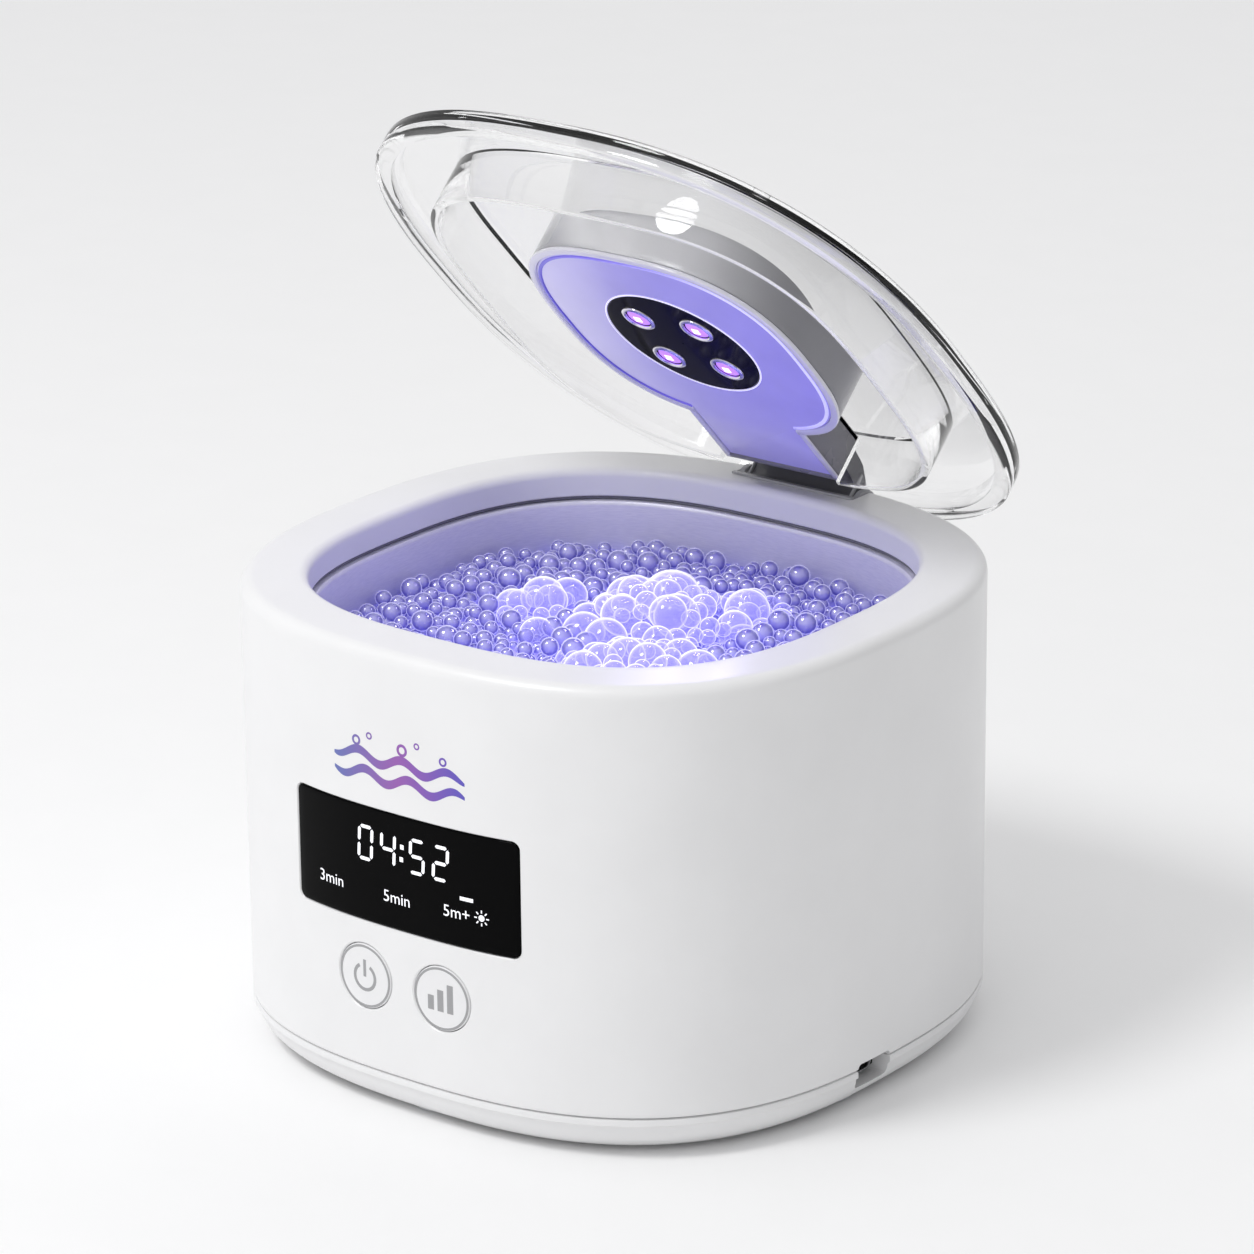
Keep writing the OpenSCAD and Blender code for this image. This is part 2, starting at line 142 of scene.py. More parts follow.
def make_piece(name, verts, faces, material, smooth=35):
    """A mesh object with its normals outward, and edges sharper than `smooth` degrees left crisp."""
    mesh = bpy.data.meshes.new(name)
    mesh.from_pydata([tuple(v) for v in verts], [], [tuple(f) for f in faces])
    mesh.validate()
    tidy = bmesh.new()
    tidy.from_mesh(mesh)
    bmesh.ops.remove_doubles(tidy, verts=tidy.verts, dist=1e-7)
    bmesh.ops.recalc_face_normals(tidy, faces=tidy.faces)
    tidy.to_mesh(mesh)
    tidy.free()
    piece = placed(name, mesh)
    shade(piece, smooth)
    if material:
        mesh.materials.append(material)
    return piece


def shade(piece, smooth=35):
    piece.data.polygons.foreach_set("use_smooth", [True] * len(piece.data.polygons))
    piece.data.set_sharp_from_angle(angle=math.radians(smooth))


def skin(name, rings, material, smooth=35, closed=True):
    """A piece through rings with the same number of points, which closes on itself or has flat ends."""
    count = len(rings[0])
    last = (len(rings) - 1) * count
    faces = []
    for i in range(len(rings) if closed else len(rings) - 1):
        low, high = i * count, ((i + 1) % len(rings)) * count
        for k in range(count):
            after = (k + 1) % count
            faces.append((low + k, low + after, high + after, high + k))
    if not closed:
        faces += [tuple(range(count)), tuple(range(last, last + count))]
    return make_piece(name, np.concatenate(rings), faces, material, smooth)


def lathe(name, profile, centre, material, count, smooth=35):
    """A closed profile of (radius, height) turned about a vertical axis through centre."""
    angle = np.linspace(0, 2 * math.pi, count, endpoint=False)
    circle = np.stack([np.cos(angle), np.sin(angle)], axis=1)
    rings = [at_height(circle * r + np.array(centre), z) for r, z in profile]
    return skin(name, rings, material, smooth)


def fillet(corner, start, end, steps):
    """Points of an arc-like blend from start to end, pulled towards corner."""
    corner, start, end = (np.array(p, float) for p in (corner, start, end))
    result = []
    for t in np.linspace(0, 1, steps + 1):
        turn = t * math.pi / 2
        result.append(corner + (start - corner) * (1 - math.sin(turn))
                      + (end - corner) * (1 - math.cos(turn)))
    return result


def evaluated(piece):
    """The piece's mesh with its modifiers applied."""
    graph = bpy.context.evaluated_depsgraph_get()
    return bpy.data.meshes.new_from_object(piece.evaluated_get(graph))


def apply_modifiers(piece):
    mesh = evaluated(piece)
    piece.modifiers.clear()
    piece.data = mesh


def boolean(piece, other, operation="DIFFERENCE"):
    """Cuts other out of piece, or joins it on, then removes other."""
    step = piece.modifiers.new("boolean", "BOOLEAN")
    step.operation = operation
    step.solver = "EXACT"
    step.object = other
    bpy.context.view_layer.update()
    apply_modifiers(piece)
    bpy.data.objects.remove(other)


def rounded_box(name, low, high, radius, material=None):
    """A box with all its edges rounded."""
    mesh = bpy.data.meshes.new(name)
    work = bmesh.new()
    bmesh.ops.create_cube(work, size=1)
    middle = (Vector(low) + Vector(high)) / 2
    size = Vector(high) - Vector(low)
    for v in work.verts:
        v.co = Vector([middle[i] + v.co[i] * size[i] for i in range(3)])
    bmesh.ops.bevel(work, geom=work.edges[:], offset=radius, segments=3, profile=0.5, affect="EDGES")
    work.to_mesh(mesh)
    work.free()
    piece = placed(name, mesh)
    shade(piece)
    if material:
        mesh.materials.append(material)
    return piece


def join_pieces(pieces, name):
    """One object from several with one material each."""
    work = bmesh.new()
    materials = []
    for piece in pieces:
        start = len(work.faces)
        work.from_mesh(piece.data)
        work.faces.ensure_lookup_table()
        material = piece.data.materials[0]
        if material not in materials:
            materials.append(material)
        for face in work.faces[start:]:
            face.material_index = materials.index(material)
        bpy.data.objects.remove(piece)
    mesh = bpy.data.meshes.new(name)
    work.to_mesh(mesh)
    work.free()
    for m in materials:
        mesh.materials.append(m)
    return placed(name, mesh)


# ---------------------------------------------------------------- materials

class Shader:
    """A procedural material around one Principled node, with small-scale variation from noise."""

    def __init__(self, name):
        self.material = bpy.data.materials.new(name)
        self.material.use_nodes = True
        self.tree = self.material.node_tree
        self.tree.nodes.clear()
        output = self.add("ShaderNodeOutputMaterial")
        self.surface = self.add("ShaderNodeBsdfPrincipled")
        self.link(self.surface.outputs[0], output.inputs["Surface"])
        self.place = self.add("ShaderNodeTexCoord").outputs["Object"]

    def add(self, kind, **values):
        node = self.tree.nodes.new(kind)
        for key, value in values.items():
            setattr(node, key, value)
        return node

    def link(self, start, end):
        self.tree.links.new(start, end)

    def set(self, **values):
        for key, value in values.items():
            self.surface.inputs[key.replace("_", " ")].default_value = value
        return self

    def noise(self, scale, detail, stretch=(1, 1, 1)):
        mapping = self.add("ShaderNodeMapping")
        mapping.inputs["Scale"].default_value = stretch
        self.link(self.place, mapping.inputs["Vector"])
        noise = self.add("ShaderNodeTexNoise")
        noise.inputs["Scale"].default_value = scale
        noise.inputs["Detail"].default_value = detail
        self.link(mapping.outputs[0], noise.inputs["Vector"])
        return noise.outputs["Fac"]

    def ramp(self, factor, *stops):
        ramp = self.add("ShaderNodeValToRGB")
        while len(ramp.color_ramp.elements) < len(stops):
            ramp.color_ramp.elements.new(0.5)
        for element, (position, colour) in zip(ramp.color_ramp.elements, stops):
            element.position = position
            element.color = (*colour, 1)
        self.link(factor, ramp.inputs["Fac"])
        return ramp.outputs["Color"]

    def across(self, left, right):
        """0 at x = left and 1 at x = right."""
        split = self.add("ShaderNodeSeparateXYZ")
        self.link(self.place, split.inputs[0])
        fit = self.add("ShaderNodeMapRange")
        fit.inputs["From Min"].default_value = left
        fit.inputs["From Max"].default_value = right
        self.link(split.outputs["X"], fit.inputs["Value"])
        return fit.outputs["Result"]

    def span(self, factor, low, high):
        """Maps 0..1 to low..high."""
        fit = self.add("ShaderNodeMapRange")
        fit.inputs["To Min"].default_value = low
        fit.inputs["To Max"].default_value = high
        self.link(factor, fit.inputs["Value"])
        return fit.outputs["Result"]

    def colour(self, factor, *stops):
        self.link(self.ramp(factor, *stops), self.surface.inputs["Base Color"])

    def light(self, factor, *stops):
        self.link(self.ramp(factor, *stops), self.surface.inputs["Emission Color"])

    def drive(self, socket, factor, low, high):
        self.link(self.span(factor, low, high), self.surface.inputs[socket])

    def rough(self, factor, low, high):
        self.drive("Roughness", factor, low, high)

    def facing(self):
        """0 where the surface faces the viewer, 1 where it is edge-on."""
        weight = self.add("ShaderNodeLayerWeight")
        weight.inputs["Blend"].default_value = 0.5
        return weight.outputs["Facing"]

    def bump(self, factor, depth):
        """Bump of the given depth in metres."""
        bump = self.add("ShaderNodeBump")
        bump.inputs["Strength"].default_value = 1.0
        bump.inputs["Distance"].default_value = depth
        self.link(factor, bump.inputs["Height"])
        self.link(bump.outputs[0], self.surface.inputs["Normal"])


def moulded(name, colour, rough, grain=900, depth=4e-6, vary=0.03, **sockets):
    """Moulded plastic: a faint grain, slight cloudiness of colour and gloss."""
    shader = Shader(name)
    dark = tuple(c * (1 - vary) for c in colour)
    shader.colour(shader.noise(60, 4), (0.3, dark), (0.7, colour))
    shader.rough(shader.noise(180, 2), *rough)
    shader.bump(shader.noise(grain, 2), depth)
    return shader.set(**sockets).material


def metal(name, colour, rough=(0.2, 0.35), stretch=(1, 1, 1), scale=700, depth=2e-6):
    """Metal with fine brushing or drawing marks along the short axis of stretch."""
    shader = Shader(name)
    marks = shader.noise(scale, 3, stretch)
    dark = tuple(c * 0.86 for c in colour)
    shader.colour(marks, (0.35, dark), (0.65, colour))
    shader.rough(marks, *rough)
    shader.bump(marks, depth)
    return shader.set(Metallic=1.0).material


def satin_steel(name):
    """Bead-blasted steel of the tank: pale, soft, with faint drawing marks, and the lamp's violet light
    painted into its colour.
    """
    shader = Shader(name)
    marks = shader.noise(500, 3, (1, 1, 14))
    # Painted light: the violet tint of these colours stands in for the lamp's violet light.
    shader.colour(marks, (0.35, (0.74, 0.73, 0.84)), (0.65, (0.82, 0.81, 0.9)))
    shader.rough(marks, 0.36, 0.48)
    shader.bump(marks, 2e-6)
    return shader.set(Metallic=0.3).material


def glowing(name, colour, strength, base=(0.9, 0.9, 0.95)):
    """Lit print behind glass: even light with a slight fall-off across each stroke."""
    shader = Shader(name)
    cloud = shader.noise(900, 2)
    shader.light(cloud, (0.3, tuple(c * 0.9 for c in colour)), (0.7, colour))
    shader.colour(cloud, (0.3, tuple(c * 0.9 for c in base)), (0.7, base))
    return shader.set(Emission_Strength=strength, Roughness=0.4).material


def gradient_ink(name, left, middle, right, half_width):
    """Print whose colour runs from left to right across the front."""
    shader = Shader(name)
    shader.colour(shader.across(-half_width, half_width), (0, left), (0.5, middle), (1, right))
    shader.rough(shader.noise(400, 2), 0.3, 0.42)
    return shader.material


WHITE = (0.86, 0.86, 0.865)
shell_white = moulded("shell_white", WHITE, (0.3, 0.38), Coat_Weight=0.15, Coat_Roughness=0.25)
tray_white = moulded("tray_white", (0.84, 0.84, 0.845), (0.32, 0.42))
button_white = moulded("button_white", (0.85, 0.85, 0.86), (0.28, 0.36))
print_grey = moulded("print_grey", (0.36, 0.36, 0.37), (0.4, 0.5))
window_black = moulded("window_black", (0.0008, 0.0008, 0.001), (0.04, 0.08), depth=5e-7,
                       Specular_IOR_Level=0.05)
tank_steel = satin_steel("tank_steel")
gasket_grey = moulded("gasket_grey", (0.2, 0.2, 0.24), (0.5, 0.65), 500, 2e-5)
foot_rubber = moulded("foot_rubber", (0.62, 0.63, 0.65), (0.55, 0.7), 700, 2e-5)
bracket_grey = moulded("bracket_grey", (0.42, 0.42, 0.45), (0.3, 0.42))
knuckle_grey = moulded("knuckle_grey", (0.15, 0.15, 0.165), (0.25, 0.38))
inlet_steel = metal("inlet_steel", (0.6, 0.6, 0.62))
screw_steel = metal("screw_steel", (0.55, 0.55, 0.57))
digit_light = glowing("digit_light", (0.93, 0.95, 1.0), 0.9, (0.5, 0.5, 0.52))


# ---------------------------------------------------------------- body

def body_y(x, inset):
    """Depth coordinate of the body's front, at a distance x from the middle and inset into the wall."""
    a, b = BODY_A - inset, BODY_B - inset
    return -b * (1 - np.minimum(np.abs(x) / a, 1) ** BODY_N) ** (1 / BODY_N)


def outer_section(inset, z):
    """The body's outline, inset."""
    return (BODY_A - inset, BODY_B - inset, BODY_N, z)


def inner_section(inset, z):
    """The outline of the lip round the bath, moved outwards."""
    return (LIP_A + inset, LIP_B + inset, TANK_N, z)


def curved_disc(name, shape, centre, profile, material, smooth=35):
    """A plug that follows the body's front. shape(grow) gives the outline about the centre, in x and z.
    profile lists (share of the outline, grow, inset), from the middle of the face round to the back."""
    rings = []
    for share, grow, inset in profile:
        flat = np.array(centre) + shape(grow) * share
        rings.append(np.column_stack([flat[:, 0], body_y(flat[:, 0], inset), flat[:, 1]]))
    return skin(name, rings, material, smooth, closed=False)


def disc_shape(radius):
    """Shape function of a circle for curved_disc."""
    angle = np.linspace(0, 2 * math.pi, 96, endpoint=False)
    return lambda grow: np.stack([np.cos(angle), np.sin(angle)], axis=1) * (radius + grow)


def window_shape(grow):
    """The window's rounded rectangle, with extra points along its long sides."""
    middle_x, middle_z = WINDOW_HALF_W - WINDOW_R, WINDOW_HALF_H - WINDOW_R
    points = []
    for quarter, (sx, sz) in enumerate([(1, 1), (-1, 1), (-1, -1), (1, -1)]):
        middle = np.array([sx * middle_x, sz * middle_z])
        for t in np.linspace(0, 1, 16):
            turn = (quarter + t) * math.pi / 2
            points.append(middle + (WINDOW_R + grow) * np.array([math.cos(turn), math.sin(turn)]))
        if quarter in (0, 2):
            for t in np.linspace(0, 1, 50)[1:-1]:
                points.append(np.array([sx * middle_x * (1 - 2 * t), sz * (WINDOW_HALF_H + grow)]))
    return np.array(points)


def face_profile(thickness, round_off, rings):
    """Profile of a curved disc with a rounded front edge: (share, grow, inset)."""
    face = [(s, -round_off, 0.0) for s in np.linspace(0.02, 1, rings)]
    edge = [(1.0, -round_off * (1 - math.sin(t)), round_off * (1 - math.cos(t)))
            for t in np.linspace(0, math.pi / 2, 5)[1:]]
    back = [(s, 0.0, thickness) for s in np.linspace(1, 0.02, rings)]
    return face + edge + back


WINDOW_HALF_W = WINDOW_HIGH.x
WINDOW_HALF_H = (WINDOW_HIGH.z - WINDOW_LOW.z) / 2
WINDOW_Z = (WINDOW_HIGH.z + WINDOW_LOW.z) / 2
WINDOW_R = 1.5 * MM
WINDOW_T = 1.2 * MM
BUTTON_R = 6.2 * MM
BUTTON_LOW, BUTTON_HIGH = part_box("level_button")
BUTTON_X = (BUTTON_LOW.x + BUTTON_HIGH.x) / 2
BUTTON_Z = (BUTTON_LOW.z + BUTTON_HIGH.z) / 2
SEAM_GAP = 0.15 * MM
PORT_Y, PORT_LOW, PORT_HIGH, PORT_HALF = -6.7 * MM, 4.4 * MM, 9.4 * MM, 4.7 * MM
POCKET_X, POCKET_Y, POCKET_Z = 14.3 * MM, 54.6 * MM, 80.3 * MM


def flared(thickness):
    """Cutter profile: wide outside the wall, with a small chamfer where it meets the surface."""
    chamfer = 0.25 * MM
    return [(0.02, chamfer, -2 * MM), (1, chamfer, -2 * MM), (1, chamfer, 0), (1, 0, chamfer),
            (1, 0, thickness), (0.02, 0, thickness)]


def port_cutter():
    """The inlet's opening, cut from both the shell and the tray."""
    low = (57.5 * MM, PORT_Y - PORT_HALF, PORT_LOW)
    high = (BODY_A + 4 * MM, PORT_Y + PORT_HALF, PORT_HIGH)
    return rounded_box("port_cutter", low, high, 0.9 * MM)


def build_shell():
    """The outer shell: straight walls, broad soft rim and the lip that goes down to the tank."""
    outer_r, inner_r = 2.4 * MM, 1.8 * MM
    profile = [outer_section(0.35 * MM, SEAM_Z), outer_section(0.1 * MM, SEAM_Z + 0.1 * MM),
               outer_section(0, SEAM_Z + 0.35 * MM)]
    profile += [outer_section(0, z) for z in np.linspace(SEAM_Z + 1 * MM, RIM_Z - outer_r - 0.6 * MM, 26)]
    profile += [outer_section(inset, z) for inset, z in
                fillet((0, RIM_Z), (0, RIM_Z - outer_r), (outer_r, RIM_Z), 10)]
    profile += [outer_section(3.4 * MM, RIM_Z), inner_section(3.2 * MM, RIM_Z)]
    profile += [inner_section(inset, z) for inset, z in
                fillet((0, RIM_Z), (inner_r, RIM_Z), (0, RIM_Z - inner_r), 8)]
    profile += [inner_section(0, LIP_Z + 2 * MM), inner_section(0, LIP_Z + 0.3 * MM),
                inner_section(0.3 * MM, LIP_Z), inner_section(1.8 * MM, LIP_Z),
                inner_section(1.8 * MM, RIM_Z - WALL), outer_section(WALL, RIM_Z - WALL),
                outer_section(WALL, SEAM_Z)]
    shell = skin("shell", [ring(*section) for section in profile], shell_white)
    boolean(shell, curved_disc("cut_window", lambda grow: window_shape(grow + SEAM_GAP), (0, WINDOW_Z),
                               flared(WINDOW_T + SEAM_GAP), None))
    boolean(shell, rounded_box("cut_behind", (-22 * MM, -BODY_B + 0.2 * MM, WINDOW_Z - 8.5 * MM),
                               (22 * MM, -BODY_B + 8 * MM, WINDOW_Z + 8.5 * MM), 0.5 * MM))
    for side in (-1, 1):
        boolean(shell, curved_disc("cut_button", disc_shape(BUTTON_R + SEAM_GAP), (side * BUTTON_X, BUTTON_Z),
                                   flared(6 * MM), None))
    boolean(shell, port_cutter())
    boolean(shell, rounded_box("cut_pocket", (-POCKET_X, POCKET_Y, POCKET_Z),
                               (POCKET_X, BODY_B + 3 * MM, RIM_Z + 3 * MM), 0.7 * MM))
    shade(shell, 30)
    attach(shell, "base")
    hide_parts("outer_shell")


FOOT_PLACES = [(54.6, -8), (-54.6, -8), (0, -53.6), (0, 53.6)]
BASE_SCREW_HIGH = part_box("base_screws")[1]
FOOT_LOW, FOOT_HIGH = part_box("rubber_feet")
FOOT_R = 4.4 * MM
SCREW_HEAD_R = 2.9 * MM
POST_X = BASE_SCREW_HIGH.x - SCREW_HEAD_R
POST_Y = BASE_SCREW_HIGH.y - SCREW_HEAD_R


def scaled_section(inset, share, z):
    """A share of the body's inset outline."""
    return ((BODY_A - inset) * share, (BODY_B - inset) * share, BODY_N, z)


def plug(name, x, y, radius, low, high, count=48):
    """A round post or cutter."""
    profile = [(0.01 * MM, low), (radius, low), (radius, high), (0.01 * MM, high)]
    return lathe(name, profile, (x, y), None, count)


def build_tray():
    """The base tray: a light band under the seam, a curve in towards the floor, posts for its four screws."""
    top = SEAM_Z - 0.25 * MM
    bottom = TRAY_LOW.z
    floor = bottom + 2.2 * MM
    curve = [(0.0, 6.9), (0.18, 6.75), (0.42, 6.6), (0.5, 6.4), (0.62, 5.6), (1.1, 4.4), (1.9, 3.3),
             (2.9, 2.3), (3.9, 1.55), (4.7, 1.05), (5.6, 0.9)]
    profile = [outer_section(WALL, top), outer_section(0.4 * MM, top),
               outer_section(0.1 * MM, top - 0.1 * MM), outer_section(0, top - 0.35 * MM)]
    profile += [outer_section(inset * MM, z * MM) for inset, z in curve]
    profile += [scaled_section(7 * MM, share, bottom) for share in np.linspace(1, 0.02, 9)]
    profile += [scaled_section(7 * MM, share, floor) for share in np.linspace(0.02, 1, 9)]
    profile += [outer_section(4 * MM, 5.6 * MM), outer_section(4 * MM, top)]
    tray = skin("tray", [ring(*section) for section in profile], tray_white)
    for x in (-POST_X, POST_X):
        for y in (-POST_Y, POST_Y):
            boolean(tray, plug("post", x, y, 4.4 * MM, 2 * MM, 7.6 * MM), "UNION")
            boolean(tray, plug("cut_head", x, y, 3.2 * MM, -1 * MM, 5 * MM))
            boolean(tray, plug("cut_bore", x, y, 1.7 * MM, 4 * MM, 9 * MM))
    for x, y in FOOT_PLACES:
        boolean(tray, plug("cut_foot", x * MM, y * MM, FOOT_R + 0.1 * MM, -1 * MM, FOOT_HIGH.z))
    boolean(tray, port_cutter())
    shade(tray, 30)
    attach(tray, "base")
    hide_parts("base_tray")


def build_feet():
    """Four soft feet with a rounded tread, in their recesses."""
    low, high = FOOT_LOW.z, FOOT_HIGH.z
    profile = [(0.01 * MM, low), (2.4 * MM, low), (2.7 * MM, low + 0.12 * MM), (3.0 * MM, low + 0.12 * MM),
               (3.4 * MM, low), (FOOT_R - 0.7 * MM, low + 0.1 * MM), (FOOT_R - 0.35 * MM, low + 0.35 * MM),
               (FOOT_R - 0.1 * MM, low + 0.6 * MM), (FOOT_R, low + 0.9 * MM), (FOOT_R, high),
               (0.01 * MM, high)]
    feet = []
    for x, y in FOOT_PLACES:
        feet.append(lathe("foot", profile, (x * MM, y * MM), foot_rubber, 64))
    feet = join_pieces(feet, "feet")
    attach(feet, "base")
    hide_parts("rubber_feet")


build_shell()
build_tray()
build_feet()


# ---------------------------------------------------------------- bath

def build_tank():
    """The tank: flange under the shell's lip, straight walls, rounded bottom."""
    steps = 8
    bowl = []
    for t in np.linspace(0, math.pi / 2, steps):
        bowl.append((TANK_ROUND * (1 - math.sin(t)), TANK_FLOOR + TANK_ROUND * (1 - math.cos(t))))
    flange_z = GASKET_LOW.z
    sections = [(TANK_A * s, TANK_B * s, TANK_FLOOR) for s in (0.03, 0.25, 0.5, 0.75)]
    sections += [(TANK_A - inset, TANK_B - inset, z) for inset, z in bowl]
    sections += [(TANK_A, TANK_B, z) for z in np.linspace(TANK_FLOOR + 11 * MM, flange_z - 0.8 * MM, 8)]
    sections += [(TANK_A + grow, TANK_B + grow, z) for grow, z in
                 ((0.1 * MM, flange_z - 0.3 * MM), (0.4 * MM, flange_z), (3.9 * MM, flange_z),
                  (3.9 * MM, TANK_HIGH.z - 1.4 * MM), (1 * MM, TANK_HIGH.z - 1.4 * MM))]
    sections += [(TANK_A + 1 * MM - inset, TANK_B + 1 * MM - inset, z - 1 * MM) for inset, z in bowl[::-1]]
    sections += [(TANK_A * s, TANK_B * s, TANK_FLOOR - 1 * MM) for s in (0.6, 0.3, 0.03)]
    rings = [ring(a, b, TANK_N, z) for a, b, z in sections]
    tank = skin("tank_bowl", rings, tank_steel, 40, closed=False)
    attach(tank, "base")
    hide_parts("tank")


def build_gasket():
    """Soft seal between the tank's flange and the shell's lip."""
    low, high = GASKET_LOW.z, GASKET_HIGH.z
    bulge = 0.25 * MM
    sections = [(1.6 * MM, low), (1.4 * MM, low + 0.15 * MM), (1.4 * MM - bulge, (low + high) / 2),
                (1.4 * MM, high - 0.15 * MM), (1.6 * MM, high), (3.2 * MM, high), (3.2 * MM, low)]
    rings = [ring(TANK_A + grow, TANK_B + grow, TANK_N, z) for grow, z in sections]
    gasket = skin("gasket", rings, gasket_grey, 50)
    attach(gasket, "base")
    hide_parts("tank_gasket")


# Middle of the pool of violet light that is painted onto the liquid and the small bubbles.
GLOW_CENTRE = Vector((0.012, -0.016, 0.075))


def distance_from_glow(shader, reach):
    """0 at the painted pool of light in front of the middle of the bath, 1 at reach from it."""
    away = shader.add("ShaderNodeVectorMath", operation="DISTANCE")
    away.inputs[1].default_value = GLOW_CENTRE
    shader.link(shader.place, away.inputs[0])
    fit = shader.add("ShaderNodeMapRange")
    fit.inputs["From Max"].default_value = reach
    shader.link(away.outputs["Value"], fit.inputs["Value"])
    return fit.outputs["Result"]


def liquid_material():
    """Liquid with painted light: it glows violet though it is no lamp, with a painted pool of light in front
    and painted shade, deep blue-violet, towards the walls.
    """
    shader = Shader("liquid_violet")
    depth = distance_from_glow(shader, 0.062)
    # Painted light and shade: colour and glow are brightest at the painted pool of light and darken towards
    # the walls.
    shader.colour(depth, (0.0, (0.42, 0.36, 0.95)), (0.45, (0.24, 0.21, 0.78)), (1.0, (0.13, 0.12, 0.5)))
    shader.light(depth, (0.0, (0.5, 0.46, 1.0)), (0.4, (0.3, 0.27, 0.85)), (1.0, (0.13, 0.12, 0.5)))
    shader.bump(shader.noise(260, 3), 4e-4)
    shader.rough(shader.noise(120, 2), 0.04, 0.12)
    return shader.set(Emission_Strength=0.5, IOR=1.33, Coat_Weight=0.5).material


def bead_material():
    """Small wet bubbles with painted light: a painted pale middle, a painted dark violet ring of shade round
    it, a painted bright rim highlight where the film is edge-on, and a glow, though they are no lamp, that is
    painted stronger near the pool of light in front.
    """
    shader = Shader("bead_violet")
    facing = shader.facing()
    # Painted shade and highlight: colour and glow follow the viewing angle, dark round the middle and bright
    # at the rim.
    shader.colour(facing, (0.0, (0.46, 0.45, 0.76)), (0.16, (0.36, 0.34, 0.68)), (0.34, (0.14, 0.13, 0.42)),
                  (0.52, (0.12, 0.11, 0.4)), (0.66, (0.62, 0.6, 0.95)), (1.0, (0.5, 0.48, 0.8)))
    shader.light(facing, (0.0, (0.12, 0.11, 0.36)), (0.3, (0.03, 0.025, 0.2)), (0.54, (0.05, 0.045, 0.28)),
                 (0.66, (0.75, 0.73, 1.0)), (0.8, (0.5, 0.48, 0.85)))
    # Painted light: the glow is stronger near the painted pool of light in front of the middle.
    shader.drive("Emission Strength", distance_from_glow(shader, 0.07), 0.9, 0.3)
    shader.rough(shader.noise(170, 2), 0.02, 0.05)
    shader.bump(shader.noise(420, 2), 1.6e-4)
    shader.set(IOR=1.4, Transmission_Weight=0.25, Coat_Weight=1.0, Coat_Roughness=0.01, Coat_IOR=2.4)
    return shader.material


def foam_material():
    """Thin soap film with painted light: half clear face-on, glowing violet though it is no lamp, with a
    painted white highlight at its edges.
    """
    shader = Shader("foam_film")
    facing = shader.facing()
    # Painted highlight: colour and glow turn white where the film is edge-on.
    shader.colour(facing, (0.0, (0.4, 0.38, 0.78)), (0.45, (0.5, 0.48, 0.88)), (0.7, (0.97, 0.96, 1.0)))
    shader.light(facing, (0.0, (0.16, 0.14, 0.42)), (0.3, (0.2, 0.18, 0.55)), (0.58, (0.34, 0.31, 0.8)),
                 (0.74, (1.0, 1.0, 1.0)), (1.0, (0.9, 0.88, 1.0)))
    alpha = shader.ramp(facing, (0.0, (0.36,) * 3), (0.42, (0.4,) * 3), (0.6, (0.6,) * 3), (0.74, (1.0,) * 3))
    shader.link(alpha, shader.surface.inputs["Alpha"])
    shader.rough(shader.noise(170, 2), 0.02, 0.05)
    shader.bump(shader.noise(300, 2), 6e-5)
    shader.set(Emission_Strength=0.75, IOR=1.4, Coat_Weight=1.0, Coat_Roughness=0.02, Coat_IOR=2.1)
    return shader.material


def inside_bath(x, y, margin):
    """Whether a place is in the tank and at least margin from its wall."""
    a, b = TANK_A - margin, TANK_B - margin
    return (np.abs(x) / a) ** TANK_N + (np.abs(y) / b) ** TANK_N < 1


def dome_mesh(spokes, hoops, sweep):
    """A ball cut off below, of radius 1 about the origin: vertices and faces."""
    verts = [(0, 0, 1)]
    for hoop in range(1, hoops + 1):
        tilt = math.radians(sweep) * hoop / hoops
        for spoke in range(spokes):
            turn = 2 * math.pi * spoke / spokes
            verts.append((math.sin(tilt) * math.cos(turn), math.sin(tilt) * math.sin(turn), math.cos(tilt)))
    faces = [(0, 1 + k, 1 + (k + 1) % spokes) for k in range(spokes)]
    for hoop in range(hoops - 1):
        start = 1 + hoop * spokes
        for k in range(spokes):
            after = (k + 1) % spokes
            faces.append((start + k, start + spokes + k, start + spokes + after, start + after))
    return np.array(verts), faces


def scatter_balls(name, balls, material, spokes, hoops, sweep):
    """One mesh of many open-bottomed bubbles given as (x, y, z, radius)."""
    shape, shape_faces = dome_mesh(spokes, hoops, sweep)
    dice = np.random.default_rng(7)
    verts, faces = [], []
    for index, (x, y, z, r) in enumerate(balls):
        squash = 1 - 0.12 * dice.random()
        verts.append(shape * (r, r, r * squash) + (x, y, z))
        start = index * len(shape)
        faces += [tuple(start + v for v in face) for face in shape_faces]
    mesh = bpy.data.meshes.new(name)
    mesh.from_pydata(np.concatenate(verts).tolist(), [], faces)
    mesh.polygons.foreach_set("use_smooth", [True] * len(mesh.polygons))
    mesh.materials.append(material)
    piece = placed(name, mesh)
    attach(piece, "base")
    return piece


def packed_bubbles(count, smallest, largest, spacing, dice):
    """Bubble centres over the liquid, kept apart by a share of their radii."""
    kept = np.zeros((0, 3))
    for _ in range(count):
        r = smallest + (largest - smallest) * dice.random() ** 1.6
        x = (dice.random() * 2 - 1) * TANK_A
        y = (dice.random() * 2 - 1) * TANK_B
        if not inside_bath(x, y, r + 0.5 * MM):
            continue
        gap = np.hypot(kept[:, 0] - x, kept[:, 1] - y)
        if len(kept) and (gap < (kept[:, 2] + r) * spacing).any():
            continue
        kept = np.vstack([kept, (x, y, r)])
    return kept


# Bubbles: tries, smallest and largest radius, and how close two may be as a share of their radii.
LOW_BEADS = (9000, 1.0 * MM, 2.1 * MM, 0.76)
HIGH_BEADS = (2600, 1.3 * MM, 2.4 * MM, 0.85)
FOAM = (5000, 1.5 * MM, 4.2 * MM, 0.62)
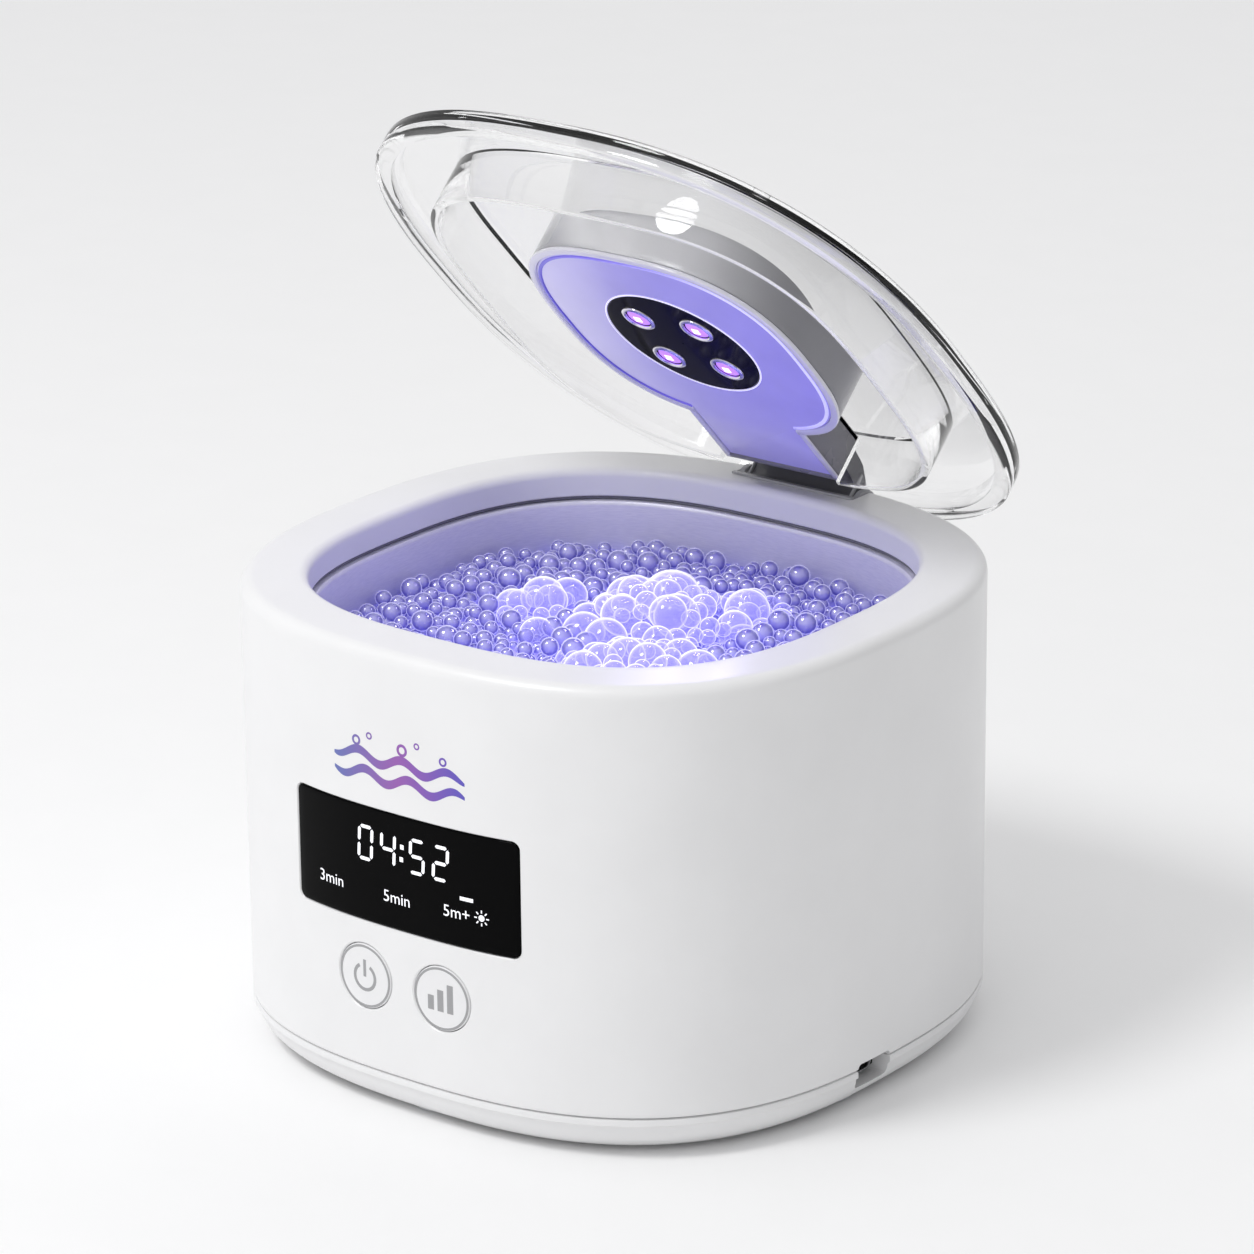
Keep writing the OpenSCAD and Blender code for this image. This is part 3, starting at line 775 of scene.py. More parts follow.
# Large bubbles on the heaps: x, y, height over the liquid and radius, in millimetres.
LARGE_BUBBLES = [(4, 12, 6.0, 5.8), (9, 7, 5.2, 4.4), (-4, 9, 5.6, 4.2), (0, 2, 5.0, 4.0), (-21, 5, 3.2, 4.3),
                 (-25, 1, 2.2, 3.4), (-19, 10, 2.6, 3.8), (14, 22, 3.0, 4.4), (17, 14, 2.4, 3.6),
                 (-12, -8, 1.8, 3.4)]
# Foam heaps: middle in x and y, radius and height.
MOUNDS = [(4 * MM, 9 * MM, 17 * MM, 9.5 * MM), (-21 * MM, 4 * MM, 9 * MM, 4.5 * MM),
          (12 * MM, 24 * MM, 9 * MM, 4.5 * MM), (14 * MM, -12 * MM, 16 * MM, 5 * MM)]


def mound_height(x, y):
    """Height of the foam heaps over the liquid."""
    return max(high * max(0.0, 1 - ((x - cx) ** 2 + (y - cy) ** 2) / reach ** 2)
               for cx, cy, reach, high in MOUNDS)


def build_bath():
    """Tank, gasket, liquid, the carpet of small bubbles and the foam heaps."""
    build_tank()
    build_gasket()
    gap = 0.2 * MM
    top = [(s, LIQUID_Z) for s in np.linspace(0.03, 0.97, 16)] + [(1.0, LIQUID_Z - 0.15 * MM)]
    rings = [ring((TANK_A - gap) * s, (TANK_B - gap) * s, TANK_N, z) for s, z in top]
    for inset, z in ((0, TANK_FLOOR + TANK_ROUND), (TANK_ROUND, TANK_FLOOR + gap)):
        rings.append(ring(TANK_A - gap - inset, TANK_B - gap - inset, TANK_N, z))
    liquid = skin("liquid", rings, liquid_material(), 40, closed=False)
    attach(liquid, "base")
    dice = np.random.default_rng(11)
    low_layer = packed_bubbles(*LOW_BEADS, dice)
    balls = [(x, y, LIQUID_Z - 0.1 * r, r) for x, y, r in low_layer]
    high_layer = packed_bubbles(*HIGH_BEADS, dice)
    balls += [(x, y, LIQUID_Z + (0.6 + 0.7 * dice.random()) * r, r) for x, y, r in high_layer
              if mound_height(x, y) < 1.5 * MM]
    scatter_balls("carpet_bubbles", balls, bead_material(), 12, 7, 165)
    foam = []
    for x, y, r in packed_bubbles(*FOAM, dice):
        height = mound_height(x, y)
        if height > 0.6 * MM:
            foam.append((x, y, LIQUID_Z + height - 0.35 * r, r))
    foam += [(x * MM, y * MM, LIQUID_Z + z * MM, r * MM) for x, y, z, r in LARGE_BUBBLES]
    scatter_balls("foam_bubbles", foam, foam_material(), 30, 16, 150)


# ---------------------------------------------------------------- front panel

PRINT_PROUD = 0.02 * MM
# In millimetres: the sun sign with its rays, and the bubbles of the mark as (x, z, radius).
SUN_X, SUN_Z = 18.0, 43.7
RAY_NEAR, RAY_FAR, RAY_HALF = 0.95, 1.5, 0.12
MARK_BUBBLES = [(-9.5, 71.6, 1.0), (-6.4, 73.0, 0.7), (1.2, 71.9, 1.2), (4.6, 73.4, 0.65), (10.4, 71.7, 0.85)]


def print_on_front(name, shapes, material, body="base"):
    """Thin raised print that follows the body's front. shapes are convex outlines in x and z, in mm."""
    verts, faces = [], []
    for shape in shapes:
        flat = np.array(shape, float) * MM
        start = len(verts)
        count = len(flat)
        for lift in (PRINT_PROUD, -0.01 * MM):
            for x, z in flat:
                verts.append((x, float(body_y(np.array(x), -lift)), z))
        faces.append(tuple(range(start, start + count)))
        faces.append(tuple(range(start + 2 * count - 1, start + count - 1, -1)))
        for k in range(count):
            after = (k + 1) % count
            faces.append((start + k, start + after, start + count + after, start + count + k))
    # Neighbouring outlines share a wall. Both copies of such a wall go, so that the print is one skin.
    corners = [frozenset(tuple(round(c / MM, 4) for c in verts[i]) for i in face) for face in faces]
    single = [face for face, key in zip(faces, corners) if corners.count(key) == 1]
    piece = make_piece(name, verts, single, material)
    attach(piece, body)
    return piece


def arc_shapes(x, z, inner, outer, start, end, steps):
    """A band between two radii as short quads, angles in degrees from +x towards +z."""
    turn = np.radians(np.linspace(start, end, steps + 1))
    points = [(x + r * np.cos(turn), z + r * np.sin(turn)) for r in (inner, outer)]
    (ix, iz), (ox, oz) = points
    return [[(ix[k], iz[k]), (ox[k], oz[k]), (ox[k + 1], oz[k + 1]), (ix[k + 1], iz[k + 1])]
            for k in range(steps)]


def block(x0, z0, x1, z1, columns=1):
    """A flat rectangle, split into columns so that it can follow the front."""
    edges = np.linspace(x0, x1, columns + 1)
    return [[(a, z0), (b, z0), (b, z1), (a, z1)] for a, b in zip(edges[:-1], edges[1:])]


SEGMENTS = {"0": "abcdef", "2": "abged", "4": "fgbc", "5": "afgcd"}


def digit_shapes(digit, x, z, width, height):
    """One seven-segment digit with pointed, separate segments; x and z are its lower left corner."""
    t, gap, lean = 0.66, 0.2, 0.06
    half = height / 2

    def across(level):
        left, right = x + gap, x + width - gap
        return [(left, level), (left + t / 2, level + t / 2), (right - t / 2, level + t / 2),
                (right, level), (right - t / 2, level - t / 2), (left + t / 2, level - t / 2)]

    def upright(side, bottom):
        low, high = bottom + gap, bottom + half - gap
        return [(side, low), (side + t / 2, low + t / 2), (side + t / 2, high - t / 2), (side, high),
                (side - t / 2, high - t / 2), (side - t / 2, low + t / 2)]

    places = {"a": across(z + height), "g": across(z + half), "d": across(z), "f": upright(x, z + half),
              "e": upright(x, z), "b": upright(x + width, z + half), "c": upright(x + width, z)}
    return [[(px + lean * (pz - z), pz) for px, pz in places[s]] for s in SEGMENTS[digit]]


def label(name, words, x, z, height):
    """Small printed words on the window, from Blender's own plain font."""
    curve = bpy.data.curves.new(name, "FONT")
    curve.body = words
    curve.size = height * MM
    curve.resolution_u = 3
    text = placed(name, curve)
    bpy.context.view_layer.update()
    mesh = evaluated(text)
    bpy.data.objects.remove(text)
    width = max(v.co.x for v in mesh.vertices)
    for v in mesh.vertices:
        flat_x = x * MM + v.co.x - width / 2
        v.co = (flat_x, float(body_y(np.array(flat_x), -PRINT_PROUD)), z * MM + v.co.y)
    mesh.materials.clear()
    mesh.materials.append(digit_light)
    piece = placed(name, mesh)
    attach(piece, "base")


def build_window():
    """Display glass with its time, labels and sun sign."""
    glass = curved_disc("window_glass", window_shape, (0, WINDOW_Z), face_profile(WINDOW_T, 0.3 * MM, 16),
                        window_black, 50)
    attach(glass, "base")
    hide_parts("display_window")
    digits = []
    for text, x in (("0", -9.6), ("4", -4.3), ("5", 2.4), ("2", 7.7)):
        digits += digit_shapes(text, x, 49.2, 3.0, 6.2)
    digits += block(0.1, 50.6, 0.9, 51.5) + block(0.3, 53.0, 1.1, 53.9)
    print_on_front("display_digits", digits, digit_light)
    print_on_front("mode_mark", block(13.5, 46.3, 16.3, 47.0, 3), digit_light)
    label("label_short", "3min", -16.8, 42.2, 3.2)
    label("label_long", "5min", -0.9, 42.2, 3.2)
    label("label_lamp", "5m+", 12.6, 42.6, 3.2)
    rays = arc_shapes(SUN_X, SUN_Z, 0.0, 0.62, 0, 360, 12)
    corners = [(RAY_NEAR, RAY_HALF), (RAY_NEAR, -RAY_HALF), (RAY_FAR, -RAY_HALF), (RAY_FAR, RAY_HALF)]
    for angle in range(0, 360, 45):
        c, s = math.cos(math.radians(angle)), math.sin(math.radians(angle))
        rays.append([(SUN_X + out * c - side * s, SUN_Z + out * s + side * c) for out, side in corners])
    print_on_front("lamp_sign", rays, digit_light)


def build_buttons():
    """The two round buttons with their rings and signs."""
    for name, side in (("power_button", -1), ("level_button", 1)):
        centre = (side * BUTTON_X, BUTTON_Z)
        profile = face_profile(3 * MM, 0.35 * MM, 10)[:-10]
        profile += [(share, 0.0, depth * MM) for share, depth in
                    ((1.0, 2.9), (1.16, 2.9), (1.16, 3.8), (0.24, 3.8), (0.24, 7.4), (0.02, 7.4))]
        cap = curved_disc(name + "_cap", disc_shape(BUTTON_R), centre, profile, button_white, 40)
        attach(cap, name)
        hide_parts(name)
        x, z = centre[0] / MM, centre[1] / MM
        print_on_front(name + "_ring", arc_shapes(x, z, 5.55, 6.0, 0, 360, 72), print_grey, name)
        if side < 0:
            sign = arc_shapes(x, z - 0.2, 2.1, 2.75, 120, 420, 40)
            sign += block(x - 0.33, z - 0.1, x + 0.33, z + 3.2)
        else:
            sign = []
            for k in range(3):
                low_x = x - 3.0 + 2.15 * k
                sign += block(low_x, z - 2.5, low_x + 1.35, z + 0.3 + 1.35 * k)
        print_on_front(name + "_sign", sign, print_grey, name)


def build_front_mark():
    """Two plain waves with bubbles over them, where the product carries its own mark."""
    waves = []
    for level, shift in ((65.6, 0.0), (69.0, 1.5)):
        x = np.linspace(-15, 15, 61)
        middle = level + 0.95 * np.sin((x + shift) * 0.62)
        half = 0.85 * np.sqrt(np.clip(1 - (np.abs(x) / 15.3) ** 6, 0.02, 1))
        for k in range(60):
            waves.append([(x[k], middle[k] - half[k]), (x[k + 1], middle[k + 1] - half[k + 1]),
                          (x[k + 1], middle[k + 1] + half[k + 1]), (x[k], middle[k] + half[k])])
    for x, z, r in MARK_BUBBLES:
        waves += arc_shapes(x, z, r * 0.55, r, 0, 360, 28)
    ink = gradient_ink("mark_ink", (0.12, 0.16, 0.45), (0.3, 0.1, 0.42), (0.1, 0.08, 0.5), 15 * MM)
    print_on_front("front_mark", waves, ink)


build_bath()
build_window()
build_buttons()
build_front_mark()


# ---------------------------------------------------------------- lid, built shut and then opened

def on_lid(piece, node):
    """Opens a piece that was built in the shut position and fixes it to the lid."""
    piece.data.transform(OPENED)
    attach(piece, "lid")
    if node:
        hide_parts(node)


def tube_profile(inner, outer, low, high, soft):
    """Closed profile of a tube with its four edges rounded: (radius, height)."""
    bend = 0.3 * soft
    return [(inner + soft, low), (outer - soft, low), (outer - bend, low + bend), (outer, low + soft),
            (outer, high - soft), (outer - bend, high - bend), (outer - soft, high),
            (inner + soft, high), (inner + bend, high - bend), (inner, high - soft),
            (inner, low + soft), (inner + bend, low + bend)]


def lid_dome(share):
    """Height of the lid's outer surface over the rim, at a share of its outline."""
    return RIM_Z + 4 * MM + 7.4 * MM * (1 - share ** 2.5) ** 0.75


def lid_ring(inset, height):
    """The lid's outline, inset, at a height over the rim, both in millimetres."""
    return ring(LID_A - inset * MM, LID_B - inset * MM, LID_N, RIM_Z + height * MM, LID_Y)


def lid_share_ring(share, z):
    """A share of the lid's outline."""
    return ring(LID_A * share, LID_B * share, LID_N, z, LID_Y)


def build_lid_cover():
    """Clear lid: stepped edge band, low dome, and the skirt that drops into the bath's rim."""
    band = [(2.9, 0.3), (0.6, 0.3), (0.25, 0.4), (0.05, 0.6), (0, 0.85), (0, 1.6), (0.12, 1.85), (0.45, 2.0),
            (0.55, 2.2), (0.45, 2.4), (0.14, 2.6), (0.02, 2.9), (0.02, 3.5)]
    rings = [lid_ring(inset, height) for inset, height in band]
    shares = np.sin(np.linspace(1, 0.012, 44) * math.pi / 2)
    rings += [lid_share_ring(s, lid_dome(min(s, 1))) for s in shares[1:]]
    inner = [s for s in shares[::-1] if s < 0.94]
    rings += [lid_share_ring(s, lid_dome(s) - LID_T) for s in inner]
    rings += [lid_ring(3.45, 2.6), lid_ring(3.4, 0.8), lid_ring(3.25, 0.45)]
    cover = skin("lid_clear_cover", rings, lid_clear, 40)
    top = RIM_Z + 6.9 * MM
    soft = 0.35 * MM

    def skirt_ring(inset, z):
        return ring(SKIRT_A - inset, SKIRT_B - inset, SKIRT_N, z, SKIRT_Y)

    low = SKIRT_LOW
    rings = [skirt_ring(SKIRT_T - soft, low), skirt_ring(soft, low), skirt_ring(0.3 * soft, low + 0.3 * soft),
             skirt_ring(0, low + soft), skirt_ring(0, top), skirt_ring(SKIRT_T, top),
             skirt_ring(SKIRT_T, low + soft), skirt_ring(SKIRT_T - 0.3 * soft, low + 0.3 * soft)]
    skirt = skin("skirt", rings, lid_clear, 40)
    slot_low = (-NECK_X - 0.3 * MM, 40 * MM, SKIRT_LOW - 1 * MM)
    slot_high = (NECK_X + 0.3 * MM, 52 * MM, RIM_Z + 6.3 * MM)
    boolean(skirt, rounded_box("neck_slot", slot_low, slot_high, 0.6 * MM))
    boolean(cover, skirt, "UNION")
    shade(cover, 32)
    on_lid(cover, "lid_cover")


DRUM_LOW_Z = HINGE_Z
NECK_END = HINGE_Y - 10.2 * MM
ARM_LOW = HINGE_Z + 4.2 * MM
KNUCKLE_HALF = 11.9 * MM
KNUCKLE_R = 3.4 * MM


def drum_skin(name, profile, material):
    """A closed profile of (half width, height) taken round the drum's rounded-square outline."""
    return skin(name, [ring(a, a, DRUM_N, z, DRUM_Y) for a, z in profile], material)


def side_rib(x, lean):
    """A light raised rib across the knuckle's side."""
    low = (x, HINGE_Y - 3.2 * MM + lean, HINGE_Z - 1.6 * MM)
    return rounded_box("rib", low, (x + 0.5 * MM, low[1] + 0.8 * MM, HINGE_Z + 6.6 * MM), 0.18 * MM, rib_grey)


def build_knuckle():
    """Solid arm from the neck down to the hinge barrel, with ribs over it."""
    section = [(NECK_END, ARM_LOW), (NECK_END, RIM_Z + 5.2 * MM), (HINGE_Y - 4 * MM, RIM_Z + 4.9 * MM),
               (HINGE_Y - 0.4 * MM, RIM_Z + 3.6 * MM), (HINGE_Y + 1.4 * MM, RIM_Z + 2.6 * MM),
               (HINGE_Y + 2.4 * MM, RIM_Z + 0.4 * MM)]
    turn = np.radians(np.linspace(30, -205, 34))
    section += [(HINGE_Y + KNUCKLE_R * math.cos(a), HINGE_Z + KNUCKLE_R * math.sin(a)) for a in turn]
    section += [(HINGE_Y - 3.2 * MM, ARM_LOW - 0.6 * MM), (HINGE_Y - 3.8 * MM, ARM_LOW)]
    section = np.array(section)
    middle = section.mean(axis=0)

    def slice_at(x, share):
        flat = middle + (section - middle) * share
        return np.column_stack([np.full(len(flat), x), flat])

    soft = 0.4 * MM
    rings = [slice_at(-KNUCKLE_HALF, 0.96), slice_at(-KNUCKLE_HALF + soft, 1),
             slice_at(KNUCKLE_HALF - soft, 1), slice_at(KNUCKLE_HALF, 0.96)]
    on_lid(skin("hinge_knuckle", rings, knuckle_grey, closed=False), None)
    ribs = [side_rib(KNUCKLE_HALF - 0.2 * MM, lean) for lean in (-0.4 * MM, 1.9 * MM)]
    ribs += [side_rib(-KNUCKLE_HALF - 0.3 * MM, lean) for lean in (-0.4 * MM, 1.9 * MM)]
    on_lid(join_pieces(ribs, "knuckle_ribs"), None)


def build_drum():
    """Lamp housing: rounded-square drum with a light lip, square neck towards the hinge."""
    top = RIM_Z + 8.5 * MM
    lip = 1.0 * MM
    inner = NECK_X - DRUM_T
    neck_top = RIM_Z + 6.2 * MM
    wall = tube_profile(DRUM_A - DRUM_T, DRUM_A, DRUM_LOW_Z + lip, top, 0.2 * MM)
    wall = wall[:4] + [(DRUM_A, z) for z in np.linspace(wall[3][1], wall[4][1], 12)[1:-1]] + wall[4:]
    drum = drum_skin("drum_wall", wall, drum_clear)
    edge = drum_skin("drum_lip", tube_profile(DRUM_A - DRUM_T, DRUM_A + 0.08 * MM, DRUM_LOW_Z,
                                              DRUM_LOW_Z + lip - 0.05 * MM, 0.3 * MM), lip_light)
    for piece in (drum, edge):
        opening = (inner, HINGE_Y, neck_top)
        boolean(piece, rounded_box("cut_neck", (-inner, DRUM_Y, DRUM_LOW_Z - 1 * MM), opening, 0.3 * MM))
        shade(piece, 35)
    on_lid(drum, "lamp_housing")
    on_lid(edge, None)
    start = DRUM_Y + 27 * MM
    round_off = 0.35 * MM
    corner = (NECK_X, NECK_END, neck_top)
    walls = []
    for side in (-1, 1):
        near, far = sorted((side * inner, side * NECK_X))
        walls.append(rounded_box("neck_side", (near, start, DRUM_LOW_Z + 0.5 * MM), (far, NECK_END, neck_top),
                                 round_off, neck_grey))
        near, far = sorted((side * (inner + 0.1 * MM), side * (NECK_X + 0.05 * MM)))
        line_high = (far, NECK_END, DRUM_LOW_Z + 0.55 * MM)
        walls.append(rounded_box("neck_line", (near, start, DRUM_LOW_Z), line_high, 0.2 * MM, lip_light))
    for name, low in (("neck_end", (-NECK_X, NECK_END - DRUM_T, DRUM_LOW_Z)),
                      ("neck_roof", (-NECK_X, start, neck_top - DRUM_T))):
        walls.append(rounded_box(name, low, corner, round_off, neck_grey))
    on_lid(join_pieces(walls, "neck"), None)
    build_knuckle()


def build_lamp_face():
    """Violet lit plate under the drum, which runs on as the underside of the neck."""
    low = DRUM_LOW_Z + 0.25 * MM
    high = low + 1.2 * MM
    radius = DRUM_A - DRUM_T - 0.1 * MM
    plate = [(radius * s, low) for s in (0.02, 0.3, 0.6, 0.9)]
    plate += [(radius - 0.2 * MM, low), (radius, low + 0.2 * MM), (radius, high), (radius * 0.02, high)]
    face = drum_skin("lit_face", plate, face_violet)
    half = NECK_X - DRUM_T - 0.1 * MM
    neck_high = (half, NECK_END - DRUM_T - 0.1 * MM, high)
    neck = rounded_box("face_neck", (-half, DRUM_Y + 22 * MM, low), neck_high, 0.18 * MM, face_violet)
    boolean(face, neck, "UNION")
    boolean(face, plug("cut_window", 0, DRUM_Y, LED_WINDOW_R + 0.1 * MM, low - 1 * MM, high + 1 * MM, 128))
    shade(face, 30)
    on_lid(face, "lamp_face")
    bead = tube_profile(radius - 1.0 * MM, radius - 0.3 * MM, low - 0.2 * MM, low + 0.3 * MM, 0.12 * MM)
    line = drum_skin("face_bead", bead, bead_blue)
    half_gap = NECK_X - DRUM_T
    boolean(line, rounded_box("cut_bead", (-half_gap, DRUM_Y + 10 * MM, low - 2 * MM),
                              (half_gap, DRUM_Y + 40 * MM, low + 2 * MM), 0.1 * MM))
    shade(line, 35)
    on_lid(line, None)
    black = [(r, low - 0.1 * MM) for r in (0.2 * MM, 5 * MM, 10 * MM, LED_WINDOW_R - 0.3 * MM)]
    black += [(LED_WINDOW_R, low + 0.2 * MM), (LED_WINDOW_R, low + 1 * MM), (0.2 * MM, low + 1 * MM)]
    window = lathe("led_window_black", black, (0, DRUM_Y), window_black, 192)
    spots = [(x * LED_PITCH, DRUM_Y + y * LED_PITCH) for x in (-1, 1) for y in (-1, 1)]
    for x, y in spots:
        boolean(window, plug("cut_led", x, y, LED_R + 0.1 * MM, low - 3 * MM, low + 4 * MM, 96))
    shade(window, 35)
    on_lid(window, "led_window")
    edge = tube_profile(LED_WINDOW_R - 0.05 * MM, LED_WINDOW_R + 0.28 * MM,
                        low - 0.16 * MM, low + 0.1 * MM, 0.08 * MM)
    on_lid(lathe("led_window_edge", edge, (0, DRUM_Y), bead_light, 192), None)
    bezel = [(LED_R + grow * MM, low - drop * MM) for grow, drop in
             ((0.12, 0), (0.12, 0.3), (0.35, 0.52), (0.7, 0.5), (0.98, 0.3), (1.02, 0.12))]
    lens_tip = low - 0.42 * MM
    dome = [(0.02 * MM, lens_tip)]
    dome += [(LED_R * math.sin(t), lens_tip + 0.55 * MM * (1 - math.cos(t)))
             for t in np.linspace(0.1, math.pi / 2, 10)]
    dome += [(LED_R, low + 3 * MM), (0.02 * MM, low + 3 * MM)]
    chip = 0.75 * MM
    bezels, lenses, chips = [], [], []
    for x, y in spots:
        bezels.append(lathe("bezel", bezel, (x, y), bezel_chrome, 64, 40))
        lenses.append(lathe("lens", dome, (x, y), lens_violet, 48, 50))
        chip_low = (x - chip, y - chip, low - 0.46 * MM)
        chip_high = (x + chip, y + chip, low - 0.3 * MM)
        chips.append(rounded_box("chip", chip_low, chip_high, 0.06 * MM, chip_glow))
    on_lid(join_pieces(bezels, "led_bezel_rings"), "led_bezels")
    on_lid(join_pieces(lenses, "led_lens_domes"), "led_lenses")
    on_lid(join_pieces(chips, "led_chips"), None)


def face_material():
    """Violet light through a pale plate, paler where its left side catches daylight."""
    shader = Shader("face_violet")
    across = shader.across(-28 * MM, 24 * MM)
    shader.colour(across, (0.0, (0.6, 0.58, 0.76)), (0.4, (0.38, 0.35, 0.66)), (1.0, (0.3, 0.27, 0.66)))
    shader.light(across, (0.0, (0.45, 0.42, 0.66)), (0.5, (0.36, 0.33, 0.8)), (1.0, (0.34, 0.3, 0.86)))
    shader.drive("Emission Strength", shader.noise(90, 3), 0.22, 0.38)
    shader.rough(shader.noise(160, 2), 0.16, 0.26)
    return shader.set(Coat_Weight=0.4, Coat_Roughness=0.08).material


def bead_material_across():
    """The gap round the plate, with painted light: painted shade, deep blue, on the left, painted light, pale
    violet, on the right, and a glow in the same colours though it is no lamp.
    """
    shader = Shader("bead_blue")
    across = shader.across(-24 * MM, 20 * MM)
    # Painted shade on the left and painted light on the right, used for both colour and glow.
    stops = ((0.0, (0.1, 0.08, 0.5)), (0.35, (0.2, 0.16, 0.72)), (0.7, (0.42, 0.38, 0.9)),
             (1.0, (0.72, 0.7, 1.0)))
    shader.colour(across, *stops)
    shader.light(across, *stops)
    shader.rough(shader.noise(200, 2), 0.1, 0.2)
    return shader.set(Emission_Strength=0.35).material


def drum_material():
    """Clear plastic with painted shade: nearly clear at the front, painted deeper grey and less clear towards
    the hinge on the right.
    """
    shader = Shader("drum_shaded_right")
    across = shader.across(-16 * MM, 29 * MM)
    # Painted shade: the wall is painted bright on the left and deep grey on the right, and less clear towards
    # the right.
    shader.colour(across, (0.0, (0.97, 0.97, 0.99)), (0.35, (0.95, 0.95, 0.97)), (0.68, (0.74, 0.74, 0.77)),
                  (1.0, (0.27, 0.27, 0.29)))
    shader.drive("Transmission Weight", across, 0.7, 0.0)
    shader.rough(shader.noise(60, 2), 0.1, 0.18)
    shader.bump(shader.noise(30, 2), 3e-5)
    return shader.set(IOR=1.45).material


def lid_material():
    """Clear plastic with a faint painted violet shade where it is edge-on."""
    shader = Shader("lid_clear")
    # Painted shade: the colour darkens slightly towards violet where the surface is seen edge-on.
    shader.colour(shader.facing(), (0.0, (1.0, 1.0, 1.0)), (0.75, (1.0, 1.0, 1.0)), (1.0, (0.9, 0.89, 0.97)))
    shader.rough(shader.noise(50, 2), 0.01, 0.03)
    shader.bump(shader.noise(16, 2), 3e-5)
    return shader.set(Transmission_Weight=1.0, IOR=1.17, Coat_Weight=0.8, Coat_Roughness=0.02).material


lid_clear = lid_material()
drum_clear = drum_material()
face_violet = face_material()
neck_grey = moulded("neck_grey", (0.2, 0.195, 0.225), (0.22, 0.34), Coat_Weight=0.3, Coat_Roughness=0.1)
bead_blue = bead_material_across()
lip_light = moulded("lip_light", (0.8, 0.79, 0.88), (0.08, 0.16), Coat_Weight=0.6, Coat_Roughness=0.04)
rib_grey = moulded("rib_grey", (0.5, 0.5, 0.52), (0.2, 0.3))
bead_light = glowing("bead_light", (0.7, 0.66, 1.0), 0.6)
bezel_chrome = metal("bezel_chrome", (0.8, 0.78, 0.86), (0.08, 0.16), depth=5e-7)
lens_violet = glowing("lens_violet", (0.5, 0.22, 0.95), 0.9, (0.4, 0.2, 0.8))
chip_glow = glowing("chip_glow", (0.95, 0.75, 1.0), 1.6)

build_lid_cover()
build_drum()
build_lamp_face()


# ---------------------------------------------------------------- inner parts and fixings

def board_green():
    """Solder mask over copper: green with darker and lighter tracks."""
    shader = Shader("board_green")
    wave = shader.add("ShaderNodeTexVoronoi", feature="DISTANCE_TO_EDGE", distance="MANHATTAN")
    wave.inputs["Scale"].default_value = 260
    shader.link(shader.place, wave.inputs["Vector"])
    tracks = wave.outputs["Distance"]
    shader.colour(tracks, (0.0, (0.03, 0.16, 0.06)), (0.08, (0.012, 0.09, 0.03)), (1.0, (0.012, 0.085, 0.03)))
    shader.rough(tracks, 0.25, 0.4)
    shader.bump(tracks, 2e-5)
    return shader.material


green = board_green()
aluminium = metal("aluminium", (0.75, 0.75, 0.77), (0.3, 0.45), (1, 12, 1))
black_plastic = moulded("black_plastic", (0.015, 0.015, 0.017), (0.35, 0.5))
NODE_MATERIALS = {
    "base_screws": screw_steel, "board_screws": screw_steel, "panel_screws": screw_steel,
    "bracket_screws": screw_steel, "led_board_screws": screw_steel, "hinge_pin": screw_steel,
    "bonding_plate": aluminium, "heat_sink": aluminium,
    "piezo_disc": moulded("piezo_ceramic", (0.5, 0.46, 0.36), (0.4, 0.55), 300, 2e-5),
    "main_board": green, "inlet_board": green, "display_board": green,
    "driver_coil": metal("coil_copper", (0.75, 0.38, 0.16), (0.25, 0.4), (1, 1, 30), 400, 4e-5),
    "filter_capacitors": moulded("capacitor_sleeve", (0.03, 0.03, 0.07), (0.3, 0.4)),
    "power_inlet": inlet_steel,
    "display_module": black_plastic, "tact_switches": black_plastic,
    "friction_washers": moulded("washer_nylon", (0.8, 0.79, 0.76), (0.4, 0.5)),
    "led_board": moulded("led_board_white", (0.8, 0.8, 0.8), (0.4, 0.5)),
    "lamp_wires": moulded("wire_red", (0.5, 0.02, 0.02), (0.4, 0.5)),
}


def build_bracket():
    """The CAD hinge bracket with its edges rounded."""
    mesh = frame["nodes"]["hinge_bracket"].data.copy()
    mesh.name = "bracket"
    mesh.materials.clear()
    mesh.materials.append(bracket_grey)
    work = bmesh.new()
    work.from_mesh(mesh)
    bmesh.ops.remove_doubles(work, verts=work.verts, dist=1e-6)
    bmesh.ops.dissolve_limit(work, angle_limit=math.radians(1.5), verts=work.verts, edges=work.edges)
    bmesh.ops.recalc_face_normals(work, faces=work.faces)
    for face in work.faces:
        face.material_index = 0
    work.to_mesh(mesh)
    work.free()
    piece = placed("bracket", mesh)
    round_off = piece.modifiers.new("round", "BEVEL")
    round_off.width = 0.18 * MM
    round_off.segments = 2
    round_off.limit_method = "ANGLE"
    round_off.angle_limit = math.radians(30)
    bpy.context.view_layer.update()
    apply_modifiers(piece)
    shade(piece, 40)
    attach(piece, "base")
    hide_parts("hinge_bracket")


def finish_nodes():
    """Materials for the CAD parts that stay as they are."""
    for name, material in NODE_MATERIALS.items():
        node = frame["nodes"][name]
        for index in range(len(node.material_slots)):
            node.material_slots[index].material = material


build_bracket()
finish_nodes()


# ---------------------------------------------------------------- stage, light and camera

FLOOR_HALF = 9
SKY_STRENGTH = 0.86
SKY_AXIS = (0.95, 0.2, -0.22)
SKY_STOPS = ((0.0, 0.8), (0.45, 1.0), (0.95, 0.34))
KEY_PLACE = Vector((-0.3, -0.75, 1.2))
KEY_TARGET = Vector((0, 0, 0.05))
KEY_SIZE = 0.42
KEY_POWER = 7.0
LED_POWER = 0.009
VIEW_AZIMUTH, VIEW_ELEVATION, VIEW_ROLL = (math.radians(angle) for angle in (38.0, 19.5, -0.6))
VIEW_DISTANCE = 1.08
VIEW_TARGET = Vector((1.7, 1.4, 76.8)) * MM
VIEW_LENS = 168


